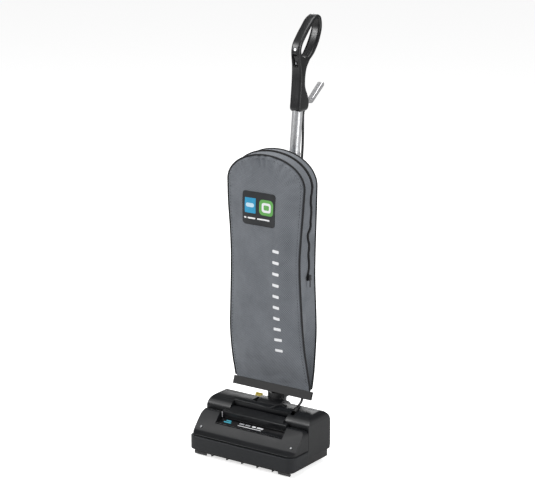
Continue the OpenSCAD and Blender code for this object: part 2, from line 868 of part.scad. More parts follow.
grip_outer = [[257.5, grip_foot, 3], [304, grip_foot, 4], [310, 950, 8], [303, 972, 8],
    [291, 992, 8], [290, 1015, 8], [296, 1040, 8], [312, 1059, 8], [338, 1084, 10],
    [360, 1119, 12], [373, 1160, 14], [362, 1183, 10], [338, 1178, 12], [300, 1146, 14],
    [266, 1110, 12], [261, 1086, 10], [269, 1035, 14], [264.5, 985, 14]];
grip_hole = [[283, 1077, 7], [301, 1071, 7], [322, 1082, 8], [346, 1110, 12],
    [361, 1150, 12], [357, 1170, 7], [338, 1166, 8], [310, 1137, 12], [281, 1107, 8],
    [276, 1090, 6]];

// One half of the grip's form, d inside its skin
module grip_form(d) {
    intersection() {
        along_x(0, shaft_w / 2 - d) difference() {
            polygon(soft(shrink(grip_outer, d)));
            polygon(soft(shrink(grip_hole, -d)));
        }
        union() {
            block(-1, shaft_w / 2 - d, 240, 330, grip_foot, 1052);
            block(-1, loop_w / 2 - d, 240, 400, 1000, 1200);
        }
    }
}

// Right half for side 1, left half for side -1
module grip_half(side) {
    difference() {
        on_side(side) grip_form(0);
        difference() {
            on_side(side) grip_form(3);
            block(-40, 40, 240, 400, grip_foot, 996);
            block(-40, 40, 240, 340, 1100, 1108);
        }
        on_tube() translate([0, 0, 700]) cylinder(h = tube_len - 699.5, r = tube_r);
        block(-9.2, 9.2, 240, 276.7, rocker_z - 17.5, rocker_z + 17.5);
        rod_y(240, 272, 0, lamp_z, 4);
        translate([gland_at[0], gland_at[1], grip_foot - 1]) cylinder(h = 17, r = 4.5);
        rod_y(296, 330, 0, hook_z, 5);
        for (p = screw_places) rod_x(p[2] - 4, p[2] + 1, p[0], p[1], 3);
    }
}

module on_side(side) {
    if (side < 0) mirror([1, 0, 0]) children();
    else children();
}

module grip_right() {
    color([0.08, 0.08, 0.09]) placed() grip_half(1);
}

module grip_left() {
    color([0.08, 0.08, 0.09]) placed() grip_half(-1);
}

// Screws of the grip's halves and of the neck's clamp
module handle_screws() {
    color([0.6, 0.6, 0.62]) placed() {
        for (p = screw_places) rod_x(p[2] - 2.5, p[2] - 0.5, p[0], p[1], 3);
        on_tube() {
            translate([0, 24.2, 52]) rotate([90, 0, 0]) cylinder(h = 8, r = 2.2);
            translate([0, 26, 52]) rotate([90, 0, 0]) cylinder(h = 2, r = 4);
        }
    }
}

// Rocker at rest with its lower half pressed, on trunnions in the switch body
module rocker_switch() {
    color([0.12, 0.12, 0.13]) placed() {
        along_x(-6, 6) polygon(soft([[269.5, 1053.5, 0.6], [274.4, 1053.5, 0.6],
            [271.4, 1078.5, 0.6], [266.4, 1078.5, 1], [269.5, rocker_z, 3]], 3));
        rod_x(-7.5, 7.5, rocker_y, rocker_z, 1.4);
    }
}

module switch_body() {
    color([0.06, 0.06, 0.06]) placed() difference() {
        block(-9, 9, 266.5, 276.5, rocker_z - 17, rocker_z + 17);
        block(-6.5, 6.5, 240, 275, rocker_z - 15, rocker_z + 15);
        rod_x(-7.7, 7.7, rocker_y, rocker_z, 1.46);
    }
}

module switch_lamp() {
    color([0.95, 0.95, 0.97]) placed() rod_y(261.5, 272, 0, lamp_z, 3.9);
}

module lead_gland() {
    color([0.05, 0.05, 0.05]) placed() translate([gland_at[0], gland_at[1], 0]) difference() {
        translate([0, 0, grip_foot - 4]) cylinder(h = 18, r = 4.5);
        translate([0, 0, grip_foot - 10]) cylinder(h = 40, r = 3.6);
    }
}

// Swivelling upper hook, pushed on a pin in the grip's boss
module cord_hook() {
    color([0.6, 0.6, 0.62]) placed() {
        rod_y(297, 314, 0, hook_z, 4.95);
        rod_y(311, 322, 0, hook_z, 9);
        along_x(-8.5, 8.5) polygon(soft([[320, 944, 3], [334, 942, 5], [hook_tip_y, 982, 1.5],
            [hook_tip_y, 990, 1.5], [hook_tip_y - 4, 991, 1], [333, 951, 4], [320, 955, 2]], 4));
    }
}

base_plate();
brush_guard();
brush_chamber();
nozzle_cover();
motor_cover();
bumper();
hood_label();
hood_screws();
edge_brushes();
brush_core();
brush_bristles();
brush_shaft();
brush_end_blocks();
drive_belt();
motor_casing();
motor_stator();
motor_armature();
carbon_brushes();
motor_mounts();
belt_pulley();
suction_fan();
fan_housing();
fan_cover();
suction_duct();
neck_bracket();
neck();
neck_bush();
release_pedal();
pedal_pin();
pedal_bracket();
rear_axle();
rear_wheel_left();
rear_wheel_right();
front_roller_left();
front_roller_right();
roller_pins();
lead_grommet();
lead_slack();
handle_tube();
tube_plug();
fill_elbow();
bag_cloth();
bag_piping();
bag_zipper();
zipper_slider();
bag_clamp_bar();
bag_badge();
filter_bag();
bag_hanger();
switch_lead();
lead_clips();
lower_cord_hook();
grip_left();
grip_right();
handle_screws();
rocker_switch();
switch_body();
switch_lamp();
lead_gland();
cord_hook();
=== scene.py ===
"""Looks of a lightweight commercial upright vacuum cleaner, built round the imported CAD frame, in metres."""
import json
import math

import bmesh
import bpy
from mathutils import Matrix, Vector, noise

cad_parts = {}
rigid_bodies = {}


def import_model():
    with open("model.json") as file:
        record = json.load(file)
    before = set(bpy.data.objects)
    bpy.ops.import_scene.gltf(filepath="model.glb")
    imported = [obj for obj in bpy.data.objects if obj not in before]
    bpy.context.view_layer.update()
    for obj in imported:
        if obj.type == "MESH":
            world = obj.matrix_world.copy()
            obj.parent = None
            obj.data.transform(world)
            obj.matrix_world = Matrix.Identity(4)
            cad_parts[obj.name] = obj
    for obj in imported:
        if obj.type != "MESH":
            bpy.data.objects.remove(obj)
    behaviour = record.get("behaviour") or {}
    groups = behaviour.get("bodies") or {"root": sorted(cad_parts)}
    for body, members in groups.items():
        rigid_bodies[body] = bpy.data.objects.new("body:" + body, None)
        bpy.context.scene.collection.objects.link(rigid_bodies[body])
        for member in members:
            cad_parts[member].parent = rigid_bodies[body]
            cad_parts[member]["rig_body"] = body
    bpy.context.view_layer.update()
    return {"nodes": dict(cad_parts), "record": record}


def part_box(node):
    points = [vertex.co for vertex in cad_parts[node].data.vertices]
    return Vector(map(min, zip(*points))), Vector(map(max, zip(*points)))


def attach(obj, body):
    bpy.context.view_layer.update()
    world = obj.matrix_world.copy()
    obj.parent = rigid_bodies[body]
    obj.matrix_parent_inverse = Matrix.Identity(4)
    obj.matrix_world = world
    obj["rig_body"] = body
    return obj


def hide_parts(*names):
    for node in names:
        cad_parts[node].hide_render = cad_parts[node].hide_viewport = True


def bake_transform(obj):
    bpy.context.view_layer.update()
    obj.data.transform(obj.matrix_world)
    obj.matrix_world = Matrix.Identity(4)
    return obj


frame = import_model()
nodes = frame["nodes"]
scene = bpy.context.scene
MM = 0.001
BUMPER_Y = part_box("bumper")[0].y

HEAD = "floor_head"
HANDLE = "handle"


def at(x, y, z):
    """A place in millimetres, Y from the bumper's face, as a point of the frame."""
    return Vector((x * MM, BUMPER_Y + y * MM, z * MM))


# ---- numbers that shape the pieces, in millimetres ----

LEAN = 6.9                      # backward lean of the handle tube, in degrees
TUBE_AT = (177.6, 122)          # Y and Z of a point on the tube's axis
TUBE_R = 14.3

# Bag stations: height, half width, front seam, rear seam
BAG_ROWS = [(189, 119, 160.4, 163.0), (200, 121, 158.6, 168.5), (225, 121, 152.5, 174.5),
            (250, 121, 146.4, 179.0), (300, 119.4, 136.2, 186.5), (350, 117.5, 129.8, 193.0),
            (400, 114.8, 127.5, 195.5), (500, 110.2, 124.8, 196.1), (560, 109.2, 123.8, 197.8),
            (620, 112.5, 124.8, 195.0), (700, 119, 125.3, 188.5), (757, 122, 127.4, 185.7)]
ARCH_Z = 757
ARCH_FRONT = 76                 # rise of the arch at the front seam
ARCH_REAR = 83
BULGE = 17                      # how far the front panel stands ahead of its seam
GUSSET_HALF = 35                # half of the gusset's width as it was cut
ZIP_FOOT = 500
ZIP_SHOULDER = 720              # height at which the zip ends on the left
CLOTH = 1.2
CLOTH_ROWS = 132                # cells up each panel, and along half of the gusset
FRONT_CELLS, REAR_CELLS, GUSSET_CELLS = 64, 32, 18
PANEL_UV = (0.125, 0.68)        # half width and height of a panel on the UV map, in metres
GUSSET_UV = 0.035
SHOULDER = (30, 735)            # where the shoulder's creases start
SHOULDER_CREASES = ((0.48, 4.6), (0.62, 3.8), (0.77, 3.0))      # direction in radians, depth
TUBE_CLEARANCE = 3.2            # between the rear panel and the tube
CREASE_FOOT, CREASE_SLOPE = 640, 34     # diagonal crease across the gusset

BADGE_AT = (-10, 691)
BADGE_SIZE = (107, 90)
DASH_X, DASH_TOP, DASH_FOOT, DASHES = 48, 584, 306, 10

GRIP_OUTER = [(257.5, 928, 4), (304, 928, 5), (310, 950, 30), (303, 972, 30), (291, 992, 30),
              (290, 1015, 30), (296, 1040, 30), (312, 1059, 30), (338, 1084, 30), (362, 1119, 30),
              (376, 1152, 26), (369, 1175, 26), (353, 1183, 22), (334, 1175, 26), (298, 1147, 30),
              (265, 1111, 30), (260, 1086, 30), (269, 1035, 30), (264.5, 985, 30)]
GRIP_HOLE = [(282, 1076, 30), (301, 1069, 30), (323, 1081, 30), (348, 1110, 30), (363, 1147, 30),
             (357, 1171, 30), (337, 1165, 30), (309, 1138, 30), (280, 1108, 30), (274, 1090, 30)]
GRIP_ROUND = 8                  # radius of the grip's long edges
SHAFT_HALF = 17.5
LOOP_HALF = 15
TAPER_FOOT, TAPER_RISE = 1018, 60       # heights over which the shaft narrows to the loop
ROCKER_Z = 1066
ROCKER_WELL = ((-9.2, 240, ROCKER_Z - 17.5), (9.2, 276.7, ROCKER_Z + 17.5))
RECESS_BACK = 265               # Y of the bottom of the shallow recess round the switch
RECESS_SIZE = (19.4, 39)
RIM_SIZE = (20.6, 42, 10.2)     # width, height and corner radius of the raised rim
HALVES_GAP = 0.12               # half of the gap between the two mouldings
GRIP_RIBS = 16
RIB_FOOT, RIB_BEND, RIB_STEP = 1103, 1146, 4.6

HOOK_FACE = ((338.5, 954.6), (386, 990))        # Y and Z at both ends of the hook's face
HOOK_RIBS = 9
SPRING_Z, SPRING_START, SPRING_TURNS, SPRING_R = 812, 197, 15, 5
SCREW_HEAD_R = 3.4

SCREW_TILT = -40                # slope of the cover under the screw heads, in degrees

# Flat places of the floor head that carry prints: middle, and run and rise of the slope
LABEL_PLACE, LABEL_SLOPE = (0, 59.8, 96.15), (28.5, 9.5)
CROWN_PLACE, CROWN_SLOPE = (136, 154, 148.25), (24, -4)
WELL_RIM = [(-88, 104.5, 145.6), (-60, 104.8, 145.2), (-25, 105.2, 144.6), (10, 105.8, 143.6),
            (24, 107, 143), (34, 110, 146), (43, 115, 151), (52, 121, 153.5), (60, 127, 152.5),
            (66, 132, 149.5)]
SHELF = [(73.5, 121.2), (94.5, 130.8), (98.5, 130.8), (98.5, 127), (84, 118.8), (76, 118.8)]
SHELF_SIDES = (-88, 90)
# Place and height of the bright steel strip at the ledge's left end: a painted highlight on the ledge's
# corner, not a clip
HIGHLIGHT_STRIP_AT, HIGHLIGHT_STRIP_FOOT, HIGHLIGHT_STRIP_TOP = (-106.2, 71.2), 101, 117
NECK_BLOCK = ((-26.5, 172, 150.5), (26.5, 199, 165))

LEAD_R = 3.5
LEAD_ROUTE = [(4, 297, 930), (4, 297, 921), (4, 295.6, 912), (6.5, 292, 885), (11, 285, 850),
              (15.5, 275.5, 812), (18, 268.6, 775), (18, 259.7, 701.5), (18, 250, 621),
              (18, 240, 538.5), (18, 230, 456), (18, 220, 373), (18, 210, 291), (19, 205.5, 252),
              (24, 202.5, 229), (36, 199, 214), (52, 196, 207), (65, 193.6, 201),
              (72.5, 191.6, 192), (75, 190.6, 184), (76, 190.2, 176)]
SLACK_ROUTE = [(76.04, 190.18, 175.7), (77, 189.8, 168), (79, 186.5, 161.5), (83, 179, 157.2),
               (88, 168, 155.2), (93, 155, 155), (98, 141, 154.9), (102, 130, 154),
               (104, 123, 152.4)]


# ---- node groups shared by the materials ----

def link(tree, a, b):
    tree.links.new(a, b)


def shader_group(name, inputs, outputs):
    group = bpy.data.node_groups.new(name, "ShaderNodeTree")
    for label, kind, value in inputs:
        socket = group.interface.new_socket(label, in_out="INPUT", socket_type=kind)
        socket.default_value = value
    for label, kind in outputs:
        group.interface.new_socket(label, in_out="OUTPUT", socket_type=kind)
    return group, group.nodes.new("NodeGroupInput"), group.nodes.new("NodeGroupOutput")


def noise_node(tree, coords, scale, detail=3, rough=0.5):
    node = tree.nodes.new("ShaderNodeTexNoise")
    node.inputs["Detail"].default_value = detail
    node.inputs["Roughness"].default_value = rough
    if isinstance(scale, (int, float)):
        node.inputs["Scale"].default_value = scale
    else:
        link(tree, scale, node.inputs["Scale"])
    link(tree, coords, node.inputs["Vector"])
    return node.outputs["Fac"]


def math_node(tree, operation, a, b=None, clamp=False):
    node = tree.nodes.new("ShaderNodeMath")
    node.operation = operation
    node.use_clamp = clamp
    for socket, value in zip(node.inputs, (a, b)):
        if isinstance(value, (int, float)):
            socket.default_value = value
        elif value is not None:
            link(tree, value, socket)
    return node.outputs[0]


def range_node(tree, value, low, high, to_low, to_high):
    node = tree.nodes.new("ShaderNodeMapRange")
    link(tree, value, node.inputs["Value"])
    for label, number in (("From Min", low), ("From Max", high), ("To Min", to_low), ("To Max", to_high)):
        node.inputs[label].default_value = number
    return node.outputs["Result"]


def mix_colour(tree, fac, a, b):
    node = tree.nodes.new("ShaderNodeMix")
    node.data_type = "RGBA"
    link(tree, fac, node.inputs["Factor"])
    for label, value in (("A", a), ("B", b)):
        socket = [s for s in node.inputs if s.name == label and s.type == "RGBA"][0]
        if isinstance(value, (tuple, list)):
            socket.default_value = value
        else:
            link(tree, value, socket)
    return [s for s in node.outputs if s.type == "RGBA"][0]


def build_surface_group():
    """Moulded or cast surface: cloudy tone, fine grain height and faint scuffs."""
    group, start, end = shader_group(
        "surface_grain",
        [("Colour", "NodeSocketColor", (0.5, 0.5, 0.5, 1)), ("Light", "NodeSocketColor", (0.6, 0.6, 0.6, 1)),
         ("Grain Scale", "NodeSocketFloat", 900.0), ("Roughness", "NodeSocketFloat", 0.4)],
        [("Colour", "NodeSocketColor"), ("Roughness", "NodeSocketFloat"), ("Height", "NodeSocketFloat")])
    coords = group.nodes.new("ShaderNodeTexCoord").outputs["Object"]
    cloud = noise_node(group, coords, 14, 4)
    grain = noise_node(group, coords, start.outputs["Grain Scale"], 2)
    scratch_map = group.nodes.new("ShaderNodeMapping")
    scratch_map.inputs["Scale"].default_value = (40, 260, 60)
    scratch_map.inputs["Rotation"].default_value = (0.3, 0.5, 0.6)
    link(group, coords, scratch_map.inputs["Vector"])
    scratch = noise_node(group, scratch_map.outputs["Vector"], 3, 2, 0.4)
    scuff = range_node(group, scratch, 0.62, 0.75, 0, 0.5)
    tone = range_node(group, cloud, 0.3, 0.7, 0, 0.45)
    both = math_node(group, "ADD", tone, scuff, clamp=True)
    colour = mix_colour(group, both, start.outputs["Colour"], start.outputs["Light"])
    link(group, colour, end.inputs["Colour"])
    spread = range_node(group, cloud, 0.3, 0.7, -0.05, 0.06)
    rough = math_node(group, "ADD", start.outputs["Roughness"], spread)
    rough = math_node(group, "ADD", rough, math_node(group, "MULTIPLY", scuff, 0.2))
    link(group, rough, end.inputs["Roughness"])
    link(group, grain, end.inputs["Height"])
    return group


def build_weave_group():
    """Cloth laid on the UV map, whose unit is a metre: crossed diagonal yarns, slub and worn tone."""
    group, start, end = shader_group(
        "cloth_weave",
        [("Colour", "NodeSocketColor", (0.2, 0.2, 0.2, 1)), ("Light", "NodeSocketColor", (0.3, 0.3, 0.3, 1)),
         ("Yarns", "NodeSocketFloat", 300.0)],
        [("Colour", "NodeSocketColor"), ("Roughness", "NodeSocketFloat"), ("Height", "NodeSocketFloat")])
    uv = group.nodes.new("ShaderNodeTexCoord").outputs["UV"]
    heights = []
    for turn in (0.62, -0.62):
        mapping = group.nodes.new("ShaderNodeMapping")
        mapping.inputs["Rotation"].default_value = (0, 0, turn)
        link(group, uv, mapping.inputs["Vector"])
        wave = group.nodes.new("ShaderNodeTexWave")
        wave.inputs["Distortion"].default_value = 0.6
        wave.inputs["Detail"].default_value = 1
        link(group, start.outputs["Yarns"], wave.inputs["Scale"])
        link(group, mapping.outputs["Vector"], wave.inputs["Vector"])
        heights.append(wave.outputs["Fac"])
    weave = math_node(group, "MULTIPLY", heights[0], heights[1])
    slub = noise_node(group, uv, 260, 3)
    cloud = noise_node(group, uv, 9, 5, 0.6)
    height = math_node(group, "ADD", weave, math_node(group, "MULTIPLY", slub, 0.35))
    tone = math_node(group, "ADD", range_node(group, height, 0.1, 1.0, 0.0, 0.75),
                     range_node(group, cloud, 0.35, 0.65, 0.0, 0.25), clamp=True)
    colour = mix_colour(group, tone, start.outputs["Colour"], start.outputs["Light"])
    link(group, colour, end.inputs["Colour"])
    link(group, range_node(group, slub, 0.3, 0.7, 0.68, 0.85), end.inputs["Roughness"])
    link(group, height, end.inputs["Height"])
    return group


def build_brushed_group():
    """Metal with fine lines drawn along one axis."""
    group, start, end = shader_group(
        "brushed_lines",
        [("Colour", "NodeSocketColor", (0.7, 0.7, 0.7, 1)), ("Dark", "NodeSocketColor", (0.5, 0.5, 0.5, 1)),
         ("Roughness", "NodeSocketFloat", 0.3)],
        [("Colour", "NodeSocketColor"), ("Roughness", "NodeSocketFloat"), ("Height", "NodeSocketFloat")])
    coords = group.nodes.new("ShaderNodeTexCoord").outputs["Object"]
    mapping = group.nodes.new("ShaderNodeMapping")
    mapping.inputs["Scale"].default_value = (900, 900, 9)
    link(group, coords, mapping.inputs["Vector"])
    lines = noise_node(group, mapping.outputs["Vector"], 1, 2)
    cloud = noise_node(group, coords, 22, 3)
    tone = range_node(group, cloud, 0.3, 0.75, 0, 0.6)
    link(group, mix_colour(group, tone, start.outputs["Colour"], start.outputs["Dark"]), end.inputs["Colour"])
    spread = range_node(group, lines, 0.3, 0.7, -0.06, 0.08)
    link(group, math_node(group, "ADD", start.outputs["Roughness"], spread), end.inputs["Roughness"])
    link(group, lines, end.inputs["Height"])
    return group


SURFACE = build_surface_group()
WEAVE = build_weave_group()
BRUSHED = build_brushed_group()


def rgba(colour):
    return (*colour, 1)


def make_material(name, group, colour, second, numbers, bump, distance=0.0002, **plain):
    """A Principled material fed by one group; plain holds values for the shader's own sockets."""
    material = bpy.data.materials.new(name)
    material.use_nodes = True
    tree = material.node_tree
    shader = tree.nodes["Principled BSDF"]
    for label, value in plain.items():
        shader.inputs[label.replace("_", " ")].default_value = value
    source = tree.nodes.new("ShaderNodeGroup")
    source.node_tree = group
    source.inputs["Colour"].default_value = rgba(colour)
    source.inputs[1].default_value = rgba(second)
    for label, value in numbers.items():
        source.inputs[label].default_value = value
    link(tree, source.outputs["Colour"], shader.inputs["Base Color"])
    link(tree, source.outputs["Roughness"], shader.inputs["Roughness"])
    height = tree.nodes.new("ShaderNodeBump")
    height.inputs["Strength"].default_value = bump
    height.inputs["Distance"].default_value = distance
    link(tree, source.outputs["Height"], height.inputs["Height"])
    link(tree, height.outputs["Normal"], shader.inputs["Normal"])
    return material


def moulded(name, colour, light, rough, grain=900.0, bump=0.15, **plain):
    numbers = {"Grain Scale": grain, "Roughness": rough}
    return make_material(name, SURFACE, colour, light, numbers, bump, **plain)


def drawn_metal(name, colour, dark, rough, bump=0.05, **plain):
    return make_material(name, BRUSHED, colour, dark, {"Roughness": rough}, bump, Metallic=1.0, **plain)


def woven(name, colour, light, yarns, bump, **plain):
    return make_material(name, WEAVE, colour, light, {"Yarns": yarns}, bump, distance=0.0004, **plain)


def glow_lens(name):
    material = moulded(name, (0.9, 0.92, 0.95), (1, 1, 1), 0.12, bump=0.02, Coat_Weight=0.5)
    shader = material.node_tree.nodes["Principled BSDF"]
    shader.inputs["Emission Color"].default_value = (1, 1, 1, 1)
    shader.inputs["Emission Strength"].default_value = 0.6
    return material


FINISHES = {
    "charcoal_shell": moulded("charcoal_shell", (0.0052, 0.0057, 0.0068), (0.0098, 0.0108, 0.0125), 0.36,
                              grain=1500, bump=0.14, Specular_IOR_Level=0.3),
    "bumper_rubber": moulded("bumper_rubber", (0.0092, 0.0104, 0.0125), (0.0155, 0.017, 0.0195), 0.5, bump=0.3,
                             Specular_IOR_Level=0.35),
    "chassis_plastic": moulded("chassis_plastic", (0.006, 0.006, 0.007), (0.012, 0.012, 0.013), 0.5, bump=0.2),
    "label_gloss": moulded("label_gloss", (0.003, 0.003, 0.0035), (0.005, 0.005, 0.006), 0.14, bump=0.02),
    "bright_steel": drawn_metal("bright_steel", (0.62, 0.62, 0.64), (0.5, 0.5, 0.52), 0.3),
    "chrome": drawn_metal("chrome", (0.9, 0.9, 0.92), (0.8, 0.8, 0.82), 0.12, bump=0.01),
    "bristle": moulded("bristle", (0.01, 0.01, 0.01), (0.03, 0.03, 0.03), 0.6, bump=0.4),
    "pale_bristle": moulded("pale_bristle", (0.05, 0.05, 0.052), (0.12, 0.12, 0.12), 0.6, bump=0.4),
    "wood_core": moulded("wood_core", (0.32, 0.2, 0.1), (0.5, 0.35, 0.2), 0.4, grain=300),
    "belt_rubber": moulded("belt_rubber", (0.008, 0.008, 0.008), (0.02, 0.02, 0.02), 0.7, bump=0.4),
    "motor_shell": drawn_metal("motor_shell", (0.45, 0.46, 0.48), (0.3, 0.31, 0.33), 0.4),
    "laminations": drawn_metal("laminations", (0.3, 0.3, 0.32), (0.2, 0.2, 0.22), 0.45, bump=0.2),
    "copper_windings": drawn_metal("copper_windings", (0.6, 0.33, 0.15), (0.45, 0.22, 0.1), 0.35, bump=0.3),
    "carbon": moulded("carbon", (0.02, 0.02, 0.02), (0.04, 0.04, 0.04), 0.5),
    "tyre_rubber": moulded("tyre_rubber", (0.008, 0.008, 0.008), (0.022, 0.022, 0.021), 0.75, bump=0.5),
    "bearing_plastic": moulded("bearing_plastic", (0.6, 0.59, 0.56), (0.7, 0.69, 0.66), 0.4),
    "pedal_yellow": moulded("pedal_yellow", (0.95, 0.7, 0.012), (1.0, 0.8, 0.04), 0.38),
    "lead_rubber": moulded("lead_rubber", (0.004, 0.004, 0.0045), (0.009, 0.009, 0.01), 0.4, bump=0.15),
    "aluminium_tube": drawn_metal("aluminium_tube", (0.86, 0.87, 0.89), (0.82, 0.83, 0.85), 0.3, bump=0.015),
    "bag_fabric": woven("bag_fabric", (0.088, 0.097, 0.111), (0.25, 0.267, 0.292), 84, 1.0, Sheen_Weight=0.15,
                        Sheen_Roughness=0.5, Specular_IOR_Level=0.35),
    "piping_fabric": woven("piping_fabric", (0.004, 0.0045, 0.0055), (0.012, 0.013, 0.015), 120, 0.6),
    "zip_tape": woven("zip_tape", (0.003, 0.003, 0.0035), (0.009, 0.009, 0.01), 200, 0.6),
    "slider_metal": moulded("slider_metal", (0.02, 0.02, 0.022), (0.1, 0.1, 0.11), 0.35, Metallic=0.6),
    "bar_plastic": moulded("bar_plastic", (0.017, 0.0168, 0.0172), (0.026, 0.0258, 0.0262), 0.48, bump=0.22,
                           Specular_IOR_Level=0.35),
    "badge_plastic": moulded("badge_plastic", (0.008, 0.0095, 0.0115), (0.014, 0.016, 0.019), 0.42, bump=0.12),
    "filter_paper": moulded("filter_paper", (0.72, 0.68, 0.6), (0.85, 0.82, 0.75), 0.9, grain=500, bump=0.4),
    "grip_plastic": moulded("grip_plastic", (0.0045, 0.0048, 0.0055), (0.0095, 0.01, 0.0115), 0.33, grain=1700,
                            bump=0.3, Specular_IOR_Level=0.6),
    "switch_plastic": moulded("switch_plastic", (0.008, 0.008, 0.009), (0.018, 0.018, 0.02), 0.25),
    "lamp_lens": glow_lens("lamp_lens"),
    "hook_metal": moulded("hook_metal", (0.4, 0.4, 0.41), (0.55, 0.55, 0.56), 0.36, Metallic=0.5),
}
dark_steel = drawn_metal("dark_steel", (0.05, 0.05, 0.055), (0.03, 0.03, 0.034), 0.4)
print_white = moulded("print_white", (0.8, 0.81, 0.83), (0.92, 0.92, 0.93), 0.5, bump=0.05)
print_blue = moulded("print_blue", (0.012, 0.27, 0.5), (0.03, 0.36, 0.6), 0.45, bump=0.05)
print_green = moulded("print_green", (0.1, 0.36, 0.07), (0.16, 0.46, 0.11), 0.45, bump=0.05)
print_pale_blue = moulded("print_pale_blue", (0.5, 0.72, 0.85), (0.65, 0.82, 0.9), 0.4, bump=0.05)
print_cyan = moulded("print_cyan", (0.04, 0.35, 0.48), (0.12, 0.55, 0.66), 0.35, bump=0.05)
print_grey = moulded("print_grey", (0.35, 0.36, 0.38), (0.45, 0.46, 0.48), 0.4, bump=0.05)


# ---- making pieces ----

def place_piece(name, mesh, finish, body, smooth=35):
    for polygon in mesh.polygons:
        polygon.use_smooth = True
    mesh.set_sharp_from_angle(angle=math.radians(smooth))
    piece = bpy.data.objects.new(name, mesh)
    scene.collection.objects.link(piece)
    material = FINISHES[finish] if isinstance(finish, str) else finish
    piece.data.materials.clear()
    piece.data.materials.append(material)
    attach(piece, body)
    return piece


def drawn_out(bm, faces, offset):
    """Gives flat faces a thickness: a copy of them is moved by the offset, and the walls between are made."""
    made = bmesh.ops.extrude_face_region(bm, geom=faces)
    for element in made["geom"]:
        if isinstance(element, bmesh.types.BMVert):
            element.co += offset
    bmesh.ops.recalc_face_normals(bm, faces=bm.faces)


def flat_face(bm, points):
    return bm.faces.new([bm.verts.new(point) for point in points])


def rounded_edges(bm, width):
    bmesh.ops.bevel(bm, geom=bm.edges[:], offset=width * MM, offset_type="OFFSET", segments=3, profile=0.5,
                    affect="EDGES", material=-1)


def mesh_of(name, bm):
    mesh = bpy.data.meshes.new(name)
    bm.to_mesh(mesh)
    bm.free()
    return mesh


def evaluated_mesh(piece):
    graph = bpy.context.evaluated_depsgraph_get()
    graph.update()
    return bpy.data.meshes.new_from_object(piece.evaluated_get(graph))


def subpart_slot(node):
    return next(r["material_slot"] for r in frame["record"]["subparts"] if r["node"] == node)


def body_of_node(node):
    return next(b for b, held in frame["record"]["behaviour"]["bodies"].items() if node in held)


def refined(node, width=0.8, segments=3, angle=28, smooth=35):
    """A CAD node with its loose triangles joined up and its edges rounded, in place of the node."""
    bm = bmesh.new()
    bm.from_mesh(nodes[node].data)
    bmesh.ops.remove_doubles(bm, verts=bm.verts, dist=2e-6)
    bmesh.ops.dissolve_limit(bm, angle_limit=math.radians(0.5), verts=bm.verts, edges=bm.edges)
    piece = place_piece(node + "_finished", mesh_of(node + "_finished", bm), subpart_slot(node),
                        body_of_node(node), smooth=smooth)
    bevel = piece.modifiers.new("rounded edges", "BEVEL")
    bevel.width = width * MM
    bevel.segments = segments
    bevel.limit_method = "ANGLE"
    bevel.angle_limit = math.radians(angle)
    bevel.harden_normals = True
    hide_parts(node)
    return piece


def smooth_route(points, steps):
    """A curve through the points, with the given number of steps between each pair."""
    line = []
    for i in range(len(points) - 1):
        a, b = points[max(i - 1, 0)], points[i]
        c, d = points[i + 1], points[min(i + 2, len(points) - 1)]
        for k in range(steps):
            t = k / steps
            line.append(0.5 * ((2 * b) + (c - a) * t + (2 * a - 5 * b + 4 * c - d) * t * t
                               + (3 * b - a - 3 * c + d) * t ** 3))
    return line + [points[-1]]


def tube_mesh(name, line, radius, sides=12, flat=1.0):
    """A round tube drawn out along a line from one ring, capped; its UV map runs in metres round and along."""
    bm = bmesh.new()
    uv = bm.loops.layers.uv.new("UVMap")
    ring = bmesh.ops.create_circle(bm, segments=sides, radius=radius)["verts"]
    edges = bm.edges[:]
    ends = [edges]
    station_of = {}
    side = None
    travelled = 0.0
    for i, point in enumerate(line):
        tangent = (line[min(i + 1, len(line) - 1)] - line[max(i - 1, 0)]).normalized()
        if side is None:
            side = tangent.orthogonal().normalized()
        side = (side - tangent * side.dot(tangent)).normalized()
        up = tangent.cross(side)
        if i:
            travelled += (point - line[i - 1]).length
            made = bmesh.ops.extrude_edge_only(bm, edges=edges)["geom"]
            twins = {tuple(g.co): g for g in made if isinstance(g, bmesh.types.BMVert)}
            ring = [twins[tuple(vert.co)] for vert in ring]
            edges = [bm.edges.get((ring[k - 1], ring[k])) for k in range(sides)]
        for k, vert in enumerate(ring):
            a = 2 * math.pi * k / sides
            vert.co = point + radius * (math.cos(a) * side + flat * math.sin(a) * up)
            station_of[vert] = (k, travelled)
    ends.append(edges)
    for face in bm.faces:
        at_seam = {0, sides - 1} <= {station_of[vert][0] for vert in face.verts}
        for loop in face.loops:
            k, along = station_of[loop.vert]
            loop[uv].uv = (2 * math.pi * radius * (sides if at_seam and k == 0 else k) / sides, along)
    for rim in ends:
        bmesh.ops.edgeloop_fill(bm, edges=rim)
    bmesh.ops.recalc_face_normals(bm, faces=bm.faces)
    return mesh_of(name, bm)


# ---- the cloth bag ----

def station(z, column):
    """A column of the bag's stations at a height, on a smooth curve through them."""
    rows = BAG_ROWS
    z = min(max(z, rows[0][0]), rows[-1][0])
    i = max(k for k in range(len(rows) - 1) if rows[k][0] <= z)
    b, c = rows[i], rows[i + 1]
    a, d = rows[max(i - 1, 0)], rows[min(i + 2, len(rows) - 1)]
    span = c[0] - b[0]
    t = (z - b[0]) / span
    rise_b = (c[column] - a[column]) / max(c[0] - a[0], 1) * span
    rise_c = (d[column] - b[column]) / max(d[0] - b[0], 1) * span
    return ((2 * t ** 3 - 3 * t ** 2 + 1) * b[column] + (t ** 3 - 2 * t ** 2 + t) * rise_b
            + (3 * t ** 2 - 2 * t ** 3) * c[column] + (t ** 3 - t ** 2) * rise_c)


SIDE_SHARE = 0.84               # share of a seam that runs up the side, before the arch
FOOT_Z = BAG_ROWS[0][0]


